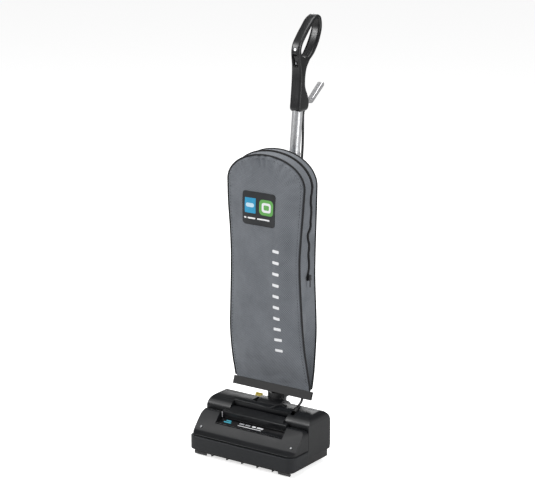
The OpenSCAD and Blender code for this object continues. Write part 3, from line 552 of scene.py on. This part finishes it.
def seam_point(v, rear):
    """Half width, Y and Z of a seam; v is 0 at the foot and 1 at the top of the arch."""
    column = 3 if rear else 2
    rise = ARCH_REAR if rear else ARCH_FRONT
    if v <= SIDE_SHARE:
        z = FOOT_Z + (ARCH_Z - FOOT_Z) * v / SIDE_SHARE
        return station(z, 1), station(z, column), z
    a = (v - SIDE_SHARE) / (1 - SIDE_SHARE) * math.pi / 2
    y = station(ARCH_Z, column) + (1 if rear else 0) * math.sin(a)
    return BAG_ROWS[-1][1] * math.cos(a), y, ARCH_Z + rise * math.sin(a)


def eased(x):
    x = min(max(x, 0), 1)
    return x * x * (3 - 2 * x)


def ripple(x, y, z, size):
    return noise.noise(Vector((x / size, y / size, z / size)))


def front_y(x, z):
    """Y of the front panel, with its bulge and creases."""
    half = station(z, 1) if z <= ARCH_Z else BAG_ROWS[-1][1] * math.sqrt(
        max(1 - ((z - ARCH_Z) / ARCH_FRONT) ** 2, 0))
    u = min(abs(x) / max(half, 1), 1)
    top = min(math.sqrt(max(1 - ((z - 690) / (ARCH_Z + ARCH_FRONT - 690)) ** 2, 0)), 1) if z > 690 else 1
    foot = eased((z - 192) / 120)
    crown = (1 - u ** 3.2) * top ** 0.9 * foot
    # gathers that fan out from the arch
    angle = math.atan2(z - 700, x)
    rim = (1 - u) * half if z < ARCH_Z else (ARCH_Z + ARCH_FRONT - z) * (1 - u)
    gathers = 3.0 * math.sin(angle * 30 + 4 * ripple(x, 0, z, 45))
    gathers *= eased((z - 640) / 90) * eased(1 - rim / 45) * (1 - u ** 10)
    if z > 690 and x > 40:
        out, up = x - SHOULDER[0], z - SHOULDER[1]
        for turn, depth in SHOULDER_CREASES:
            away = abs(math.atan2(up, out) - turn) * math.hypot(out, up)
            gathers += depth * math.exp(-(away / 2.6) ** 2) * eased(1 - rim / 42) * (1 - u ** 14)
    # a shallow valley and ridge down the right-hand side
    band = 9 * math.exp(-((x - 60) / 20) ** 2) - 4 * math.exp(-((x - 92) / 12) ** 2)
    band *= -eased((z - 330) / 90) * eased((760 - z) / 90)
    # creases over the clamp bar, long folds, and the cloth's own unevenness
    pleats = 3.0 * ripple(x + 40, 3, z * 2.2, 46) * eased((330 - z) / 120)
    pleats *= (1 - u ** 6) * eased((z - 192) / 20)
    folds = 2.4 * ripple(x * 1.6, 7, z * 0.35, 52) * (1 - u ** 4)
    folds *= eased((z - 210) / 60) * eased((800 - z) / 90)
    fine = 1.0 * ripple(x, 11, z, 15) * (1 - u ** 6)
    lip = -1.5 * math.exp(-((rim - 5) / 2.6) ** 2) * (1 - u ** 40)
    seam_y = station(min(z, ARCH_Z), 2)
    return seam_y - BULGE * crown + (gathers + band) * (1 - u ** 12) + pleats + folds + fine + lip


def tube_front(z):
    lean = math.radians(LEAN)
    return TUBE_AT[0] + (z - TUBE_AT[1]) * math.tan(lean) - TUBE_R / math.cos(lean)


def panel(bm, uv, across, up, place, flip):
    """A grid of cloth: place(u, v) gives a point in millimetres for u from -1 to 1 and v from 0 to 1."""
    made = bmesh.ops.create_grid(bm, x_segments=across, y_segments=up, size=1)["verts"]
    faces = {f for v in made for f in v.link_faces}
    for face in faces:
        for loop in face.loops:
            u, v = loop.vert.co.x, (loop.vert.co.y + 1) / 2
            loop[uv].uv = (u * PANEL_UV[0], v * PANEL_UV[1])
    for vert in made:
        vert.co = at(*place(vert.co.x, (vert.co.y + 1) / 2))
    if flip:
        bmesh.ops.reverse_faces(bm, faces=list(faces))


def front_place(u, v):
    half, y, z = seam_point(v, False)
    if abs(u) > 0.9999:
        return u * half, y, z
    return u * half, front_y(u * half, z), z


def rear_place(u, v):
    half, y, z = seam_point(v, True)
    if abs(u) > 0.9999 or v > 0.9999:
        return u * half, y, z
    limit = tube_front(z) - TUBE_CLEARANCE
    middle = min(y + 5 * eased((z - 330) / 120), limit)
    crown = (1 - abs(u) ** 3) * (1 if z < ARCH_Z else math.sqrt(max(1 - ((z - ARCH_Z) / ARCH_REAR) ** 2, 0)))
    soft = 1.2 * ripple(u * half, 21, z, 40) * (1 - u ** 4)
    return u * half, min(y + (middle - y) * crown + soft, limit + 0.4), z


def gusset_place(w, t):
    """w runs from -1 at the right foot over the arch to 1 at the left foot, t from front to rear."""
    v = 1 - abs(w)
    side = 1 if w < 0 else -1
    front, rear = seam_point(v, False), seam_point(v, True)
    x, y, z = (a + (b - a) * t for a, b in zip(front, rear))
    width = rear[1] - front[1]
    arch = eased((v - SIDE_SHARE + 0.03) / 0.1)
    fold = math.sqrt(max(GUSSET_HALF ** 2 - (width / 2) ** 2, 0)) * eased((470 - z) / 120)
    hump = 1 - abs(2 * t - 1) ** 1.5
    x -= fold * (1 - abs(2 * t - 1) ** 1.1)
    x += 2.5 * hump * (1 - arch) * eased((z - 480) / 60)
    bend = ripple(9, y * 0.8, z * 0.9, 42)
    x += 5.0 * bend * hump * (1 - arch)
    x += 1.1 * ripple(3, y, z * 1.4, 16) * hump * (1 - arch)
    # a diagonal crease across the gusset below the shoulder
    slant = z - (CREASE_FOOT - CREASE_SLOPE * t)
    x -= 6 * math.exp(-(slant / 19) ** 2) * hump * (1 - arch)
    x += 3.5 * math.exp(-((slant - 26) / 14) ** 2) * hump * (1 - arch)
    a = max(v - SIDE_SHARE, 0) / (1 - SIDE_SHARE) * math.pi / 2
    x += 2.6 * hump * arch * math.cos(a)
    z += 2.6 * hump * arch * math.sin(a)
    z += 0.8 * ripple(x, y, 5, 24) * hump * arch
    return side * max(x, 0), y, z


def make_bag():
    bm = bmesh.new()
    uv = bm.loops.layers.uv.new("UVMap")
    panel(bm, uv, FRONT_CELLS, CLOTH_ROWS, front_place, False)
    panel(bm, uv, REAR_CELLS, CLOTH_ROWS, rear_place, True)
    strip = bmesh.ops.create_grid(bm, x_segments=2 * CLOTH_ROWS, y_segments=GUSSET_CELLS, size=1)["verts"]
    for face in {f for v in strip for f in v.link_faces}:
        for loop in face.loops:
            loop[uv].uv = (loop.vert.co.y * GUSSET_UV, loop.vert.co.x * PANEL_UV[1])
    for vert in strip:
        vert.co = at(*gusset_place(vert.co.x, (vert.co.y + 1) / 2))
    bmesh.ops.remove_doubles(bm, verts=bm.verts, dist=2e-5)
    bmesh.ops.recalc_face_normals(bm, faces=bm.faces)
    piece = place_piece("bag_shell", mesh_of("bag_shell", bm), "bag_fabric", HANDLE, smooth=75)
    wall = piece.modifiers.new("cloth", "SOLIDIFY")
    wall.thickness = CLOTH * MM
    wall.offset = -1
    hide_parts("bag_cloth")


def stitch_row(name, points, body, finish, length=3.6, width=0.45):
    """A row of separate stitches, each a short thin bar lying along the points."""
    bm = bmesh.new()
    for i in range(0, len(points) - 1, 2):
        a, b = points[i], points[i + 1]
        way = (b - a).normalized()
        turn = way.to_track_quat("X", "Z").to_matrix().to_4x4()
        size = Matrix.Diagonal((length * MM, 2 * width * MM, width * MM, 1))
        bmesh.ops.create_cube(bm, size=1, matrix=Matrix.Translation((a + b) / 2) @ turn @ size)
    return place_piece(name, mesh_of(name, bm), finish, body, smooth=30)


def panel_stitches(inside):
    """Points on the front panel a little inside its seam."""
    right, left = [], []
    count = 150
    for i in range(count + 1):
        v = 0.03 + 0.965 * i / count
        half, y, z = seam_point(v, False)
        a = max(v - SIDE_SHARE, 0) / (1 - SIDE_SHARE) * math.pi / 2
        x, up = half - inside * math.cos(a), z - inside * math.sin(a)
        right.append(at(x, front_y(x, up) - 0.35, up))
        left.append(at(-x, front_y(-x, up) - 0.35, up))
    return right + left[-2::-1]


def seam_line(rear, out):
    """The piping's line: up the right-hand seam, over the arch and down the left-hand one."""
    count = 110
    right, left = [], []
    for i in range(count + 1):
        v = 0.012 + (1 - 0.012) * i / count
        half, y, z = seam_point(v, rear)
        a = max(v - SIDE_SHARE, 0) / (1 - SIDE_SHARE) * math.pi / 2
        x = half + out * math.cos(a)
        up = out * math.sin(a)
        right.append(at(x, y, z + up))
        left.append(at(-x, y, z + up))
    return right + left[-2::-1]


def zip_line(out, start_z=ZIP_FOOT, t=0.52):
    """The zip's line on the gusset, from the right side's seam over the arch to the left shoulder."""
    line = []
    count = 230
    for i in range(count + 1):
        w = -0.99 + 1.3 * i / count
        x, y, z = gusset_place(w, t)
        if w < 0 and z < start_z:
            continue
        if w > 0 and z < ZIP_SHOULDER:
            break
        v = 1 - abs(w)
        a = max(v - SIDE_SHARE, 0) / (1 - SIDE_SHARE) * math.pi / 2
        side = 1 if x > 0 else -1
        line.append(at(x + side * out * math.cos(a), y, z + out * math.sin(a)))
    return line


def cord_piece(name, line, radius, finish, body, *replaced, sides=12, flat=1.0):
    piece = place_piece(name, tube_mesh(name, line, radius * MM, sides, flat), finish, body, smooth=60)
    if replaced:
        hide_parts(*replaced)
    return piece


def rounded_outline(cx, cz, width, height, radius, steps=6):
    points = []
    for sx, sz, start in ((1, 1, 0), (-1, 1, 90), (-1, -1, 180), (1, -1, 270)):
        for k in range(steps + 1):
            a = math.radians(start + 90 * k / steps)
            points.append((cx + sx * (width / 2 - radius) + radius * math.cos(a),
                           cz + sz * (height / 2 - radius) + radius * math.sin(a)))
    return points


def bag_patch(name, outline, lift, thickness, material, step=7.0):
    """A thin print or patch that follows the front panel, from an outline in X and Z."""
    bm = bmesh.new()
    flat_face(bm, [(x, 0, z) for x, z in outline])
    for axis in (0, 2):
        low = min(v.co[axis] for v in bm.verts)
        high = max(v.co[axis] for v in bm.verts)
        place = low + step
        while place < high - 0.5:
            point, normal = Vector((0, 0, 0)), Vector((0, 0, 0))
            point[axis], normal[axis] = place, 1
            bmesh.ops.bisect_plane(bm, geom=bm.verts[:] + bm.edges[:] + bm.faces[:],
                                   plane_co=point, plane_no=normal)
            place += step
    for vert in bm.verts:
        x, z = vert.co.x, vert.co.z
        vert.co = at(x, front_y(x, z) - lift, z)
    bmesh.ops.recalc_face_normals(bm, faces=bm.faces)
    drawn_out(bm, bm.faces[:], Vector((0, -thickness * MM, 0)))
    return place_piece(name, mesh_of(name, bm), material, HANDLE, smooth=40)


def make_badge():
    """Dark patch with a blue and a green tile, plain shapes on them, and three short lines under them."""
    cx, cz = BADGE_AT
    base = bag_patch("badge_patch", rounded_outline(cx, cz, *BADGE_SIZE, 10), -0.4, 1.6,
                     FINISHES["badge_plastic"])
    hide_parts("bag_badge")
    # name: centre from the patch's centre, width, height, corner radius, lift, thickness, colour
    prints = {"badge_tile_left": (-27, 7, 35, 41, 1.5, 1.1, 0.35, print_blue),
              "badge_bar_left": (-27, 8, 26, 11, 5.4, 1.4, 0.3, print_pale_blue),
              "badge_tile_right": (25, 6, 46, 42, 11, 1.1, 0.35, print_green),
              "badge_frame_right": (25, 6, 30, 26, 7, 1.4, 0.3, print_white),
              "badge_core_right": (25, 6, 17, 13, 3, 1.65, 0.3, print_green),
              "badge_line_0": (-43, -27, 8, 4.2, 1.6, 1.1, 0.35, print_white),
              "badge_line_1": (-22, -27, 24, 4.2, 1.6, 1.1, 0.35, print_white),
              "badge_line_2": (16, -27, 40, 4.2, 1.6, 1.1, 0.35, print_white)}
    for name, (x, z, width, height, corner, lift, thickness, colour) in prints.items():
        bag_patch(name, rounded_outline(cx + x, cz + z, width, height, corner), lift, thickness, colour)


def make_print_column():
    """A column of plain dashes where the bag carries its printing."""
    step = (DASH_TOP - DASH_FOOT) / (DASHES - 1)
    for i in range(DASHES):
        bag_patch("bag_dash_%d" % i, rounded_outline(DASH_X, DASH_TOP - i * step, 23, 8, 2), 0.35, 0.35,
                  print_white)


# ---- the grip ----

def soft_outline(corners, inwards, steps=7):
    """Corners (a, b, reach) moved inwards and rounded by short curves."""
    n = len(corners)
    flat = [Vector((c[0], c[1])) for c in corners]
    moved = []
    for i in range(n):
        u = (flat[i] - flat[i - 1]).normalized()
        v = (flat[(i + 1) % n] - flat[i]).normalized()
        a, b = Vector((-u.y, u.x)), Vector((-v.y, v.x))
        moved.append(flat[i] + inwards * (a + b) / (1 + a.dot(b)))
    points = []
    for i in range(n):
        b = moved[i]
        before, after = moved[i - 1], moved[(i + 1) % n]
        reach = min(corners[i][2], 0.5 * (b - before).length, 0.5 * (after - b).length)
        s = b + (before - b).normalized() * reach
        e = b + (after - b).normalized() * reach
        for k in range(steps + 1):
            t = k / steps
            points.append((1 - t) ** 2 * s + 2 * t * (1 - t) * b + t * t * e)
    return points


def grip_body():
    """The grip as one closed form: two outlines filled, drawn out to both sides and rounded."""
    data = bpy.data.curves.new("grip_form", "CURVE")
    data.dimensions = "2D"
    data.fill_mode = "BOTH"
    data.extrude = (SHAFT_HALF - GRIP_ROUND) * MM
    data.bevel_depth = GRIP_ROUND * MM
    data.bevel_resolution = 5
    for corners, inwards in ((GRIP_OUTER, GRIP_ROUND), (GRIP_HOLE, -GRIP_ROUND)):
        outline = soft_outline(corners, inwards)
        spline = data.splines.new("POLY")
        spline.points.add(len(outline) - 1)
        spline.use_cyclic_u = True
        for point, (y, z) in zip(spline.points, outline):
            point.co = (y * MM, z * MM, 0, 1)
    holder = bpy.data.objects.new("grip_form", data)
    scene.collection.objects.link(holder)
    mesh = evaluated_mesh(holder)
    bpy.data.objects.remove(holder)
    bm = bmesh.new()
    bm.from_mesh(mesh)
    bmesh.ops.remove_doubles(bm, verts=bm.verts, dist=2e-6)
    for vert in bm.verts:
        y, z, x = vert.co
        share = eased((z / MM - TAPER_FOOT) / TAPER_RISE)
        x *= 1 + (LOOP_HALF / SHAFT_HALF - 1) * share
        vert.co = Vector((x, BUMPER_Y + y, z))
    bmesh.ops.recalc_face_normals(bm, faces=bm.faces)
    return bm


def cutter(fill):
    """A form to cut with, made by a function that fills a bmesh."""
    bm = bmesh.new()
    fill(bm)
    bmesh.ops.recalc_face_normals(bm, faces=bm.faces)
    holder = bpy.data.objects.new("cutter", mesh_of("cutter", bm))
    scene.collection.objects.link(holder)
    return holder


def carve(piece, tool):
    cut = piece.modifiers.new("cut", "BOOLEAN")
    cut.object = tool
    cut.solver = "EXACT"
    mesh = evaluated_mesh(piece)
    piece.modifiers.clear()
    piece.data = mesh
    bpy.data.objects.remove(tool)


def box_into(bm, low, high):
    for vert in bmesh.ops.create_cube(bm, size=1)["verts"]:
        vert.co = Vector(((low[i] + high[i]) / 2 + vert.co[i] * (high[i] - low[i])) for i in range(3))


def oval_into(bm, y0, y1, cz, width, height):
    """A stadium-shaped plug along Y, for the recess round the switch."""
    outline = rounded_outline(0, cz, width, height, width / 2 - 0.1, 8)
    drawn_out(bm, [flat_face(bm, [at(x, y0, z) for x, z in outline])], Vector((0, (y1 - y0) * MM, 0)))


def make_grip():
    """Two mouldings with the switch's well between them, the rim round it and the ribs above."""
    whole = grip_body()
    well = [at(*corner) for corner in ROCKER_WELL]
    for side, node in ((1, "grip_right"), (-1, "grip_left")):
        bm = whole.copy()
        cut = bmesh.ops.bisect_plane(bm, geom=bm.verts[:] + bm.edges[:] + bm.faces[:],
                                     plane_co=(side * HALVES_GAP * MM, 0, 0), plane_no=(side, 0, 0),
                                     clear_inner=True)
        edges = [g for g in cut["geom_cut"] if isinstance(g, bmesh.types.BMEdge)]
        bmesh.ops.triangle_fill(bm, edges=edges, use_beauty=True)
        bmesh.ops.recalc_face_normals(bm, faces=bm.faces)
        name = node + "_moulding"
        piece = place_piece(name, mesh_of(name, bm), "grip_plastic", HANDLE, smooth=40)
        carve(piece, cutter(lambda b: box_into(b, *well)))
        carve(piece, cutter(lambda b: oval_into(b, 240, RECESS_BACK, ROCKER_Z, *RECESS_SIZE)))
        for polygon in piece.data.polygons:
            polygon.use_smooth = True
        piece.data.set_sharp_from_angle(angle=math.radians(35))
        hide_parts(node)
    whole.free()
    rim = rounded_outline(0, ROCKER_Z, *RIM_SIZE, 8)
    line = [at(x, 268.7 - (z - 1040) * 0.165, z) for x, z in rim]
    cord_piece("switch_rim", line + line[:2], 1.0, "grip_plastic", HANDLE, sides=8)
    for i in range(GRIP_RIBS):
        z = RIB_FOOT + RIB_STEP * i
        y = 264.3 + (z - RIB_FOOT) * 0.94 if z < RIB_BEND else 304.5 + (z - RIB_BEND) * 1.12
        rib = [at(x, y - 0.1 + abs(x) * 0.05, z) for x in (-8, -4, 0, 4, 8)]
        cord_piece("grip_rib_%d" % i, rib, 0.75, "grip_plastic", HANDLE, sides=6)


# ---- graphics of the floor head ----

def plate_print(name, outline, origin, along, up, thickness, material, body=HEAD):
    """A thin print on a flat face; the outline is in millimetres along and up the face."""
    bm = bmesh.new()
    normal = along.cross(up).normalized()
    face = flat_face(bm, [origin + (a * along + b * up) * MM for a, b in outline])
    drawn_out(bm, [face], normal * thickness * MM)
    place_piece(name, mesh_of(name, bm), material, body, smooth=40)


def head_print(name, outline, place, slope, material):
    """A print on a sloping flat of the floor head."""
    angle = math.atan2(slope[1], slope[0])
    up = Vector((0, math.cos(angle), math.sin(angle)))
    plate_print(name, outline, at(*place), Vector((1, 0, 0)), up, 0.3, material)


def make_screws():
    """Round screw heads with a cross recess, in place of the two plain ones."""
    bm = bmesh.new()
    source = bmesh.new()
    source.from_mesh(nodes["hood_screws"].data)
    for side in (-1, 1):
        held = [v.co for v in source.verts if v.co.x * side > 0]
        middle = sum(held, Vector()) / len(held)
        seat = Matrix.Translation(middle) @ Matrix.Rotation(math.radians(-SCREW_TILT), 4, "X")
        made = bmesh.ops.create_uvsphere(bm, u_segments=24, v_segments=12, radius=SCREW_HEAD_R * MM)["verts"]
        for vert in made:
            vert.co.z = max(vert.co.z, -1 * MM) * 0.62
        bmesh.ops.transform(bm, matrix=seat, verts=made)
        for turn in (0, 90):
            bar = Matrix.Translation((0, 0, 1.95 * MM)) @ Matrix.Diagonal((3.4 * MM, 0.7 * MM, 0.5 * MM, 1))
            bmesh.ops.create_cube(bm, size=1, matrix=seat @ Matrix.Rotation(math.radians(turn), 4, "Z") @ bar)
    source.free()
    piece = place_piece("screw_heads", mesh_of("screw_heads", bm), "bright_steel", HEAD)
    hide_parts("hood_screws")


def make_label_prints():
    for i, (z, width) in enumerate(((3.5, 16), (-3.5, 24))):
        head_print("label_bar_%d" % i, rounded_outline(-78, z, width, 4.4, 2), LABEL_PLACE, LABEL_SLOPE,
                   print_cyan)
    for i, (x, width, colour) in enumerate(((-34, 16, print_grey), (-14, 16, print_grey),
                                            (6, 12, print_white), (26, 20, print_white))):
        head_print("label_mark_%d" % i, rounded_outline(x, 2.5, width, 5, 1.4), LABEL_PLACE, LABEL_SLOPE,
                   colour)
    head_print("label_line", rounded_outline(-4, -6, 76, 2.2, 1), LABEL_PLACE, LABEL_SLOPE,
               print_white)


def make_hood_trim():
    """Rim in front of the neck's well, the shelf behind the ledge, and a bright steel strip at its left end
    that paints the highlight of the ledge's corner.
    """
    cord_piece("well_rim", smooth_route([at(*p) for p in WELL_RIM], 6), 2.4, "charcoal_shell", HEAD, flat=0.8)
    bm = bmesh.new()
    left, right = SHELF_SIDES
    drawn_out(bm, [flat_face(bm, [at(left, y, z) for y, z in SHELF])], Vector(((right - left) * MM, 0, 0)))
    rounded_edges(bm, 1.3)
    place_piece("ledge_shelf", mesh_of("ledge_shelf", bm), "charcoal_shell", HEAD)
    # bright steel strip at the ledge's left end: a painted highlight on its rounded corner
    highlight_strip = [at(*HIGHLIGHT_STRIP_AT, z) for z in range(HIGHLIGHT_STRIP_FOOT, HIGHLIGHT_STRIP_TOP + 1, 4)]
    cord_piece("ledge_highlight_strip", highlight_strip, 1.5, "bright_steel", HEAD, sides=8)


def make_neck_block():
    """Block that carries the clamp bar on the neck, its long edges rounded."""
    bm = bmesh.new()
    box_into(bm, *(at(*corner) for corner in NECK_BLOCK))
    rounded_edges(bm, 2.2)
    place_piece("neck_block", mesh_of("neck_block", bm), "charcoal_shell", HANDLE)


def make_spring():
    """Closed coil of the spring that hangs the bag's top from the tube."""
    steps = SPRING_TURNS * 10
    length = tube_front(SPRING_Z) - 8 - SPRING_START
    line = []
    for i in range(steps + 1):
        a = 2 * math.pi * i / 10
        line.append(at(SPRING_R * math.cos(a), SPRING_START + length * i / steps,
                       SPRING_Z + SPRING_R * math.sin(a)))
    cord_piece("hanger_coil", line, 0.75, "bright_steel", HANDLE, sides=6)


def make_hook_trim():
    """Chrome bead along the right edge of the swivelling hook, which paints the highlight of that edge, and
    ribs on the hook's face.
    """
    start, end = (Vector((0, *place)) for place in HOOK_FACE)
    # chrome bead along the right edge: a painted highlight on that edge
    edge = [at(6.6, place.y - 0.9, place.z) for place in (start.lerp(end, t / 6) for t in range(7))]
    cord_piece("hook_edge_highlight", edge, 1.7, "chrome", "hook", sides=8)
    for i in range(HOOK_RIBS):
        place = start.lerp(end, (i + 0.8) / (HOOK_RIBS + 1))
        rib = [at(x, place.y - 0.1, place.z) for x in (-7.5, -4, 0, 3.4)]
        cord_piece("hook_rib_%d" % i, rib, 0.7, "hook_metal", "hook", sides=6)


def make_crown_prints():
    for i, (x, y, width) in enumerate(((-6, 5, 14), (6, -1, 18), (-2, -7, 22))):
        head_print("crown_mark_%d" % i, rounded_outline(x, y, width, 2.2, 1), CROWN_PLACE, CROWN_SLOPE,
                   print_grey)


# ---- everything in order ----

for row in frame["record"]["subparts"]:
    for material_slot in nodes[row["node"]].material_slots:
        material_slot.material = FINISHES[row["material_slot"]]

refined("nozzle_cover", width=1.4)
refined("motor_cover", width=1.4)
refined("bumper", width=2.0)
refined("neck", width=2.0)
refined("bag_clamp_bar", width=0.9, segments=2)
refined("release_pedal", width=1.0)
for node in ("cord_hook", "lower_cord_hook"):
    refined(node, width=1.2)
refined("handle_tube", width=0.3, segments=1, angle=60)
refined("hood_label", width=0.3, segments=2)
make_screws()
for node, width in (("fill_elbow", 0.8), ("lead_clips", 0.6), ("lead_grommet", 0.8), ("rear_wheel_left", 1.2),
                    ("rear_wheel_right", 1.2), ("front_roller_left", 0.8), ("front_roller_right", 0.8)):
    refined(node, width=width)
refined("base_plate", width=0.6, segments=2)
nodes["brush_guard"].material_slots[0].material = dark_steel
for node, width in (("rocker_switch", 0.4), ("switch_body", 0.5), ("switch_lamp", 1.2), ("zipper_slider", 0.4),
                    ("lead_gland", 0.4), ("filter_bag", 6)):
    refined(node, width=width)

make_bag()
cord_piece("piping_front", seam_line(False, 1.4), 2.5, "piping_fabric", HANDLE, "bag_piping")
cord_piece("piping_rear", seam_line(True, 1.0), 2.0, "piping_fabric", HANDLE)
cord_piece("zip_tape_strip", zip_line(0.9), 4.2, "zip_tape", HANDLE, "bag_zipper", flat=0.24)
cord_piece("zip_coil", zip_line(1.9), 1.7, "zip_tape", HANDLE, sides=8)
stitch_row("panel_stitches", panel_stitches(7.5), HANDLE, "piping_fabric")
make_badge()
make_print_column()
make_grip()
make_label_prints()
make_crown_prints()
make_hood_trim()
make_neck_block()
make_spring()
make_hook_trim()
face_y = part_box("rocker_switch")[0].y
plate_print("rocker_mark", rounded_outline(0, -7, 2.4, 5.5, 1), Vector((0, face_y + 0.0016, ROCKER_Z * MM)),
            Vector((1, 0, 0)), Vector((0, 0, 1)), 1.7, print_grey, "rocker")

lead_line, slack_line = (smooth_route([at(*p) for p in route], 6) for route in (LEAD_ROUTE, SLACK_ROUTE))
cord_piece("lead_run", lead_line, LEAD_R, "lead_rubber", HANDLE, "switch_lead")
slack = place_piece("lead_loop", tube_mesh("lead_loop", slack_line, LEAD_R * MM), "lead_rubber", HANDLE)
slack.parent = None
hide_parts("lead_slack")
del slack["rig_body"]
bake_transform(slack)


# ---- stage, lights and camera ----

CAMERA_PLACE = (2934, -4079, 1954)      # millimetres
CAMERA_DOWN, CAMERA_TURN = 14.82, 34.85         # degrees
LENS = 134.2
FLOOR_GLOW = 0.68               # what the camera sees added to the floor, so that it stays pale
WORLD_LIGHT = 0.26
# name: place, target, size, watts
LIGHTS = {"key": ((-2.6, -3.2, 3.0), (0, 0, 0.6), (0.9, 1.5), 118),
          "side": ((3.6, -0.6, 1.9), (0, 0, 0.5), (0.9, 2.0), 62),
          "top": ((0.2, 0.2, 4.0), (0, 0, 0), (2.2, 2.2), 62),
          "rim": ((-1.8, 3.2, 2.4), (0, 0, 0.7), (1.6, 2.0), 42)}

def make_floor():
    bm = bmesh.new()
    bmesh.ops.create_grid(bm, x_segments=1, y_segments=1, size=40)
    floor = bpy.data.objects.new("floor", mesh_of("floor", bm))
    scene.collection.objects.link(floor)
    material = bpy.data.materials.new("pale_floor")
    material.use_nodes = True
    shader = material.node_tree.nodes["Principled BSDF"]
    shader.inputs["Base Color"].default_value = (0.92, 0.92, 0.92, 1)
    shader.inputs["Roughness"].default_value = 0.9
    shader.inputs["Emission Color"].default_value = (1, 1, 1, 1)
    seen = material.node_tree.nodes.new("ShaderNodeLightPath").outputs["Is Camera Ray"]
    glow = math_node(material.node_tree, "MULTIPLY", seen, FLOOR_GLOW)
    link(material.node_tree, glow, shader.inputs["Emission Strength"])
    floor.data.materials.append(material)
    floor.location.z = -0.0005


def make_light(name, place, target, size, power):
    data = bpy.data.lights.new(name, "AREA")
    data.shape = "RECTANGLE"
    data.size, data.size_y = size
    data.energy = power
    light = bpy.data.objects.new(name, data)
    scene.collection.objects.link(light)
    light.location = place
    light.rotation_euler = (Vector(target) - Vector(place)).to_track_quat("-Z", "Y").to_euler()


def make_camera():
    data = bpy.data.cameras.new("camera")
    data.lens = LENS
    data.sensor_width = 36
    data.clip_end = 60
    camera = bpy.data.objects.new("camera", data)
    scene.collection.objects.link(camera)
    camera.location = at(*CAMERA_PLACE)
    camera.rotation_euler = (math.radians(90 - CAMERA_DOWN), 0, math.radians(CAMERA_TURN))
    scene.camera = camera


make_floor()
for name, (place, target, size, power) in LIGHTS.items():
    make_light(name, place, target, size, power)
world = bpy.data.worlds.new("studio")
world.use_nodes = True
background = world.node_tree.nodes["Background"]
background.inputs["Color"].default_value = (1, 1, 1, 1)
background.inputs["Strength"].default_value = WORLD_LIGHT
scene.world = world
scene.view_settings.view_transform = "Standard"
make_camera()
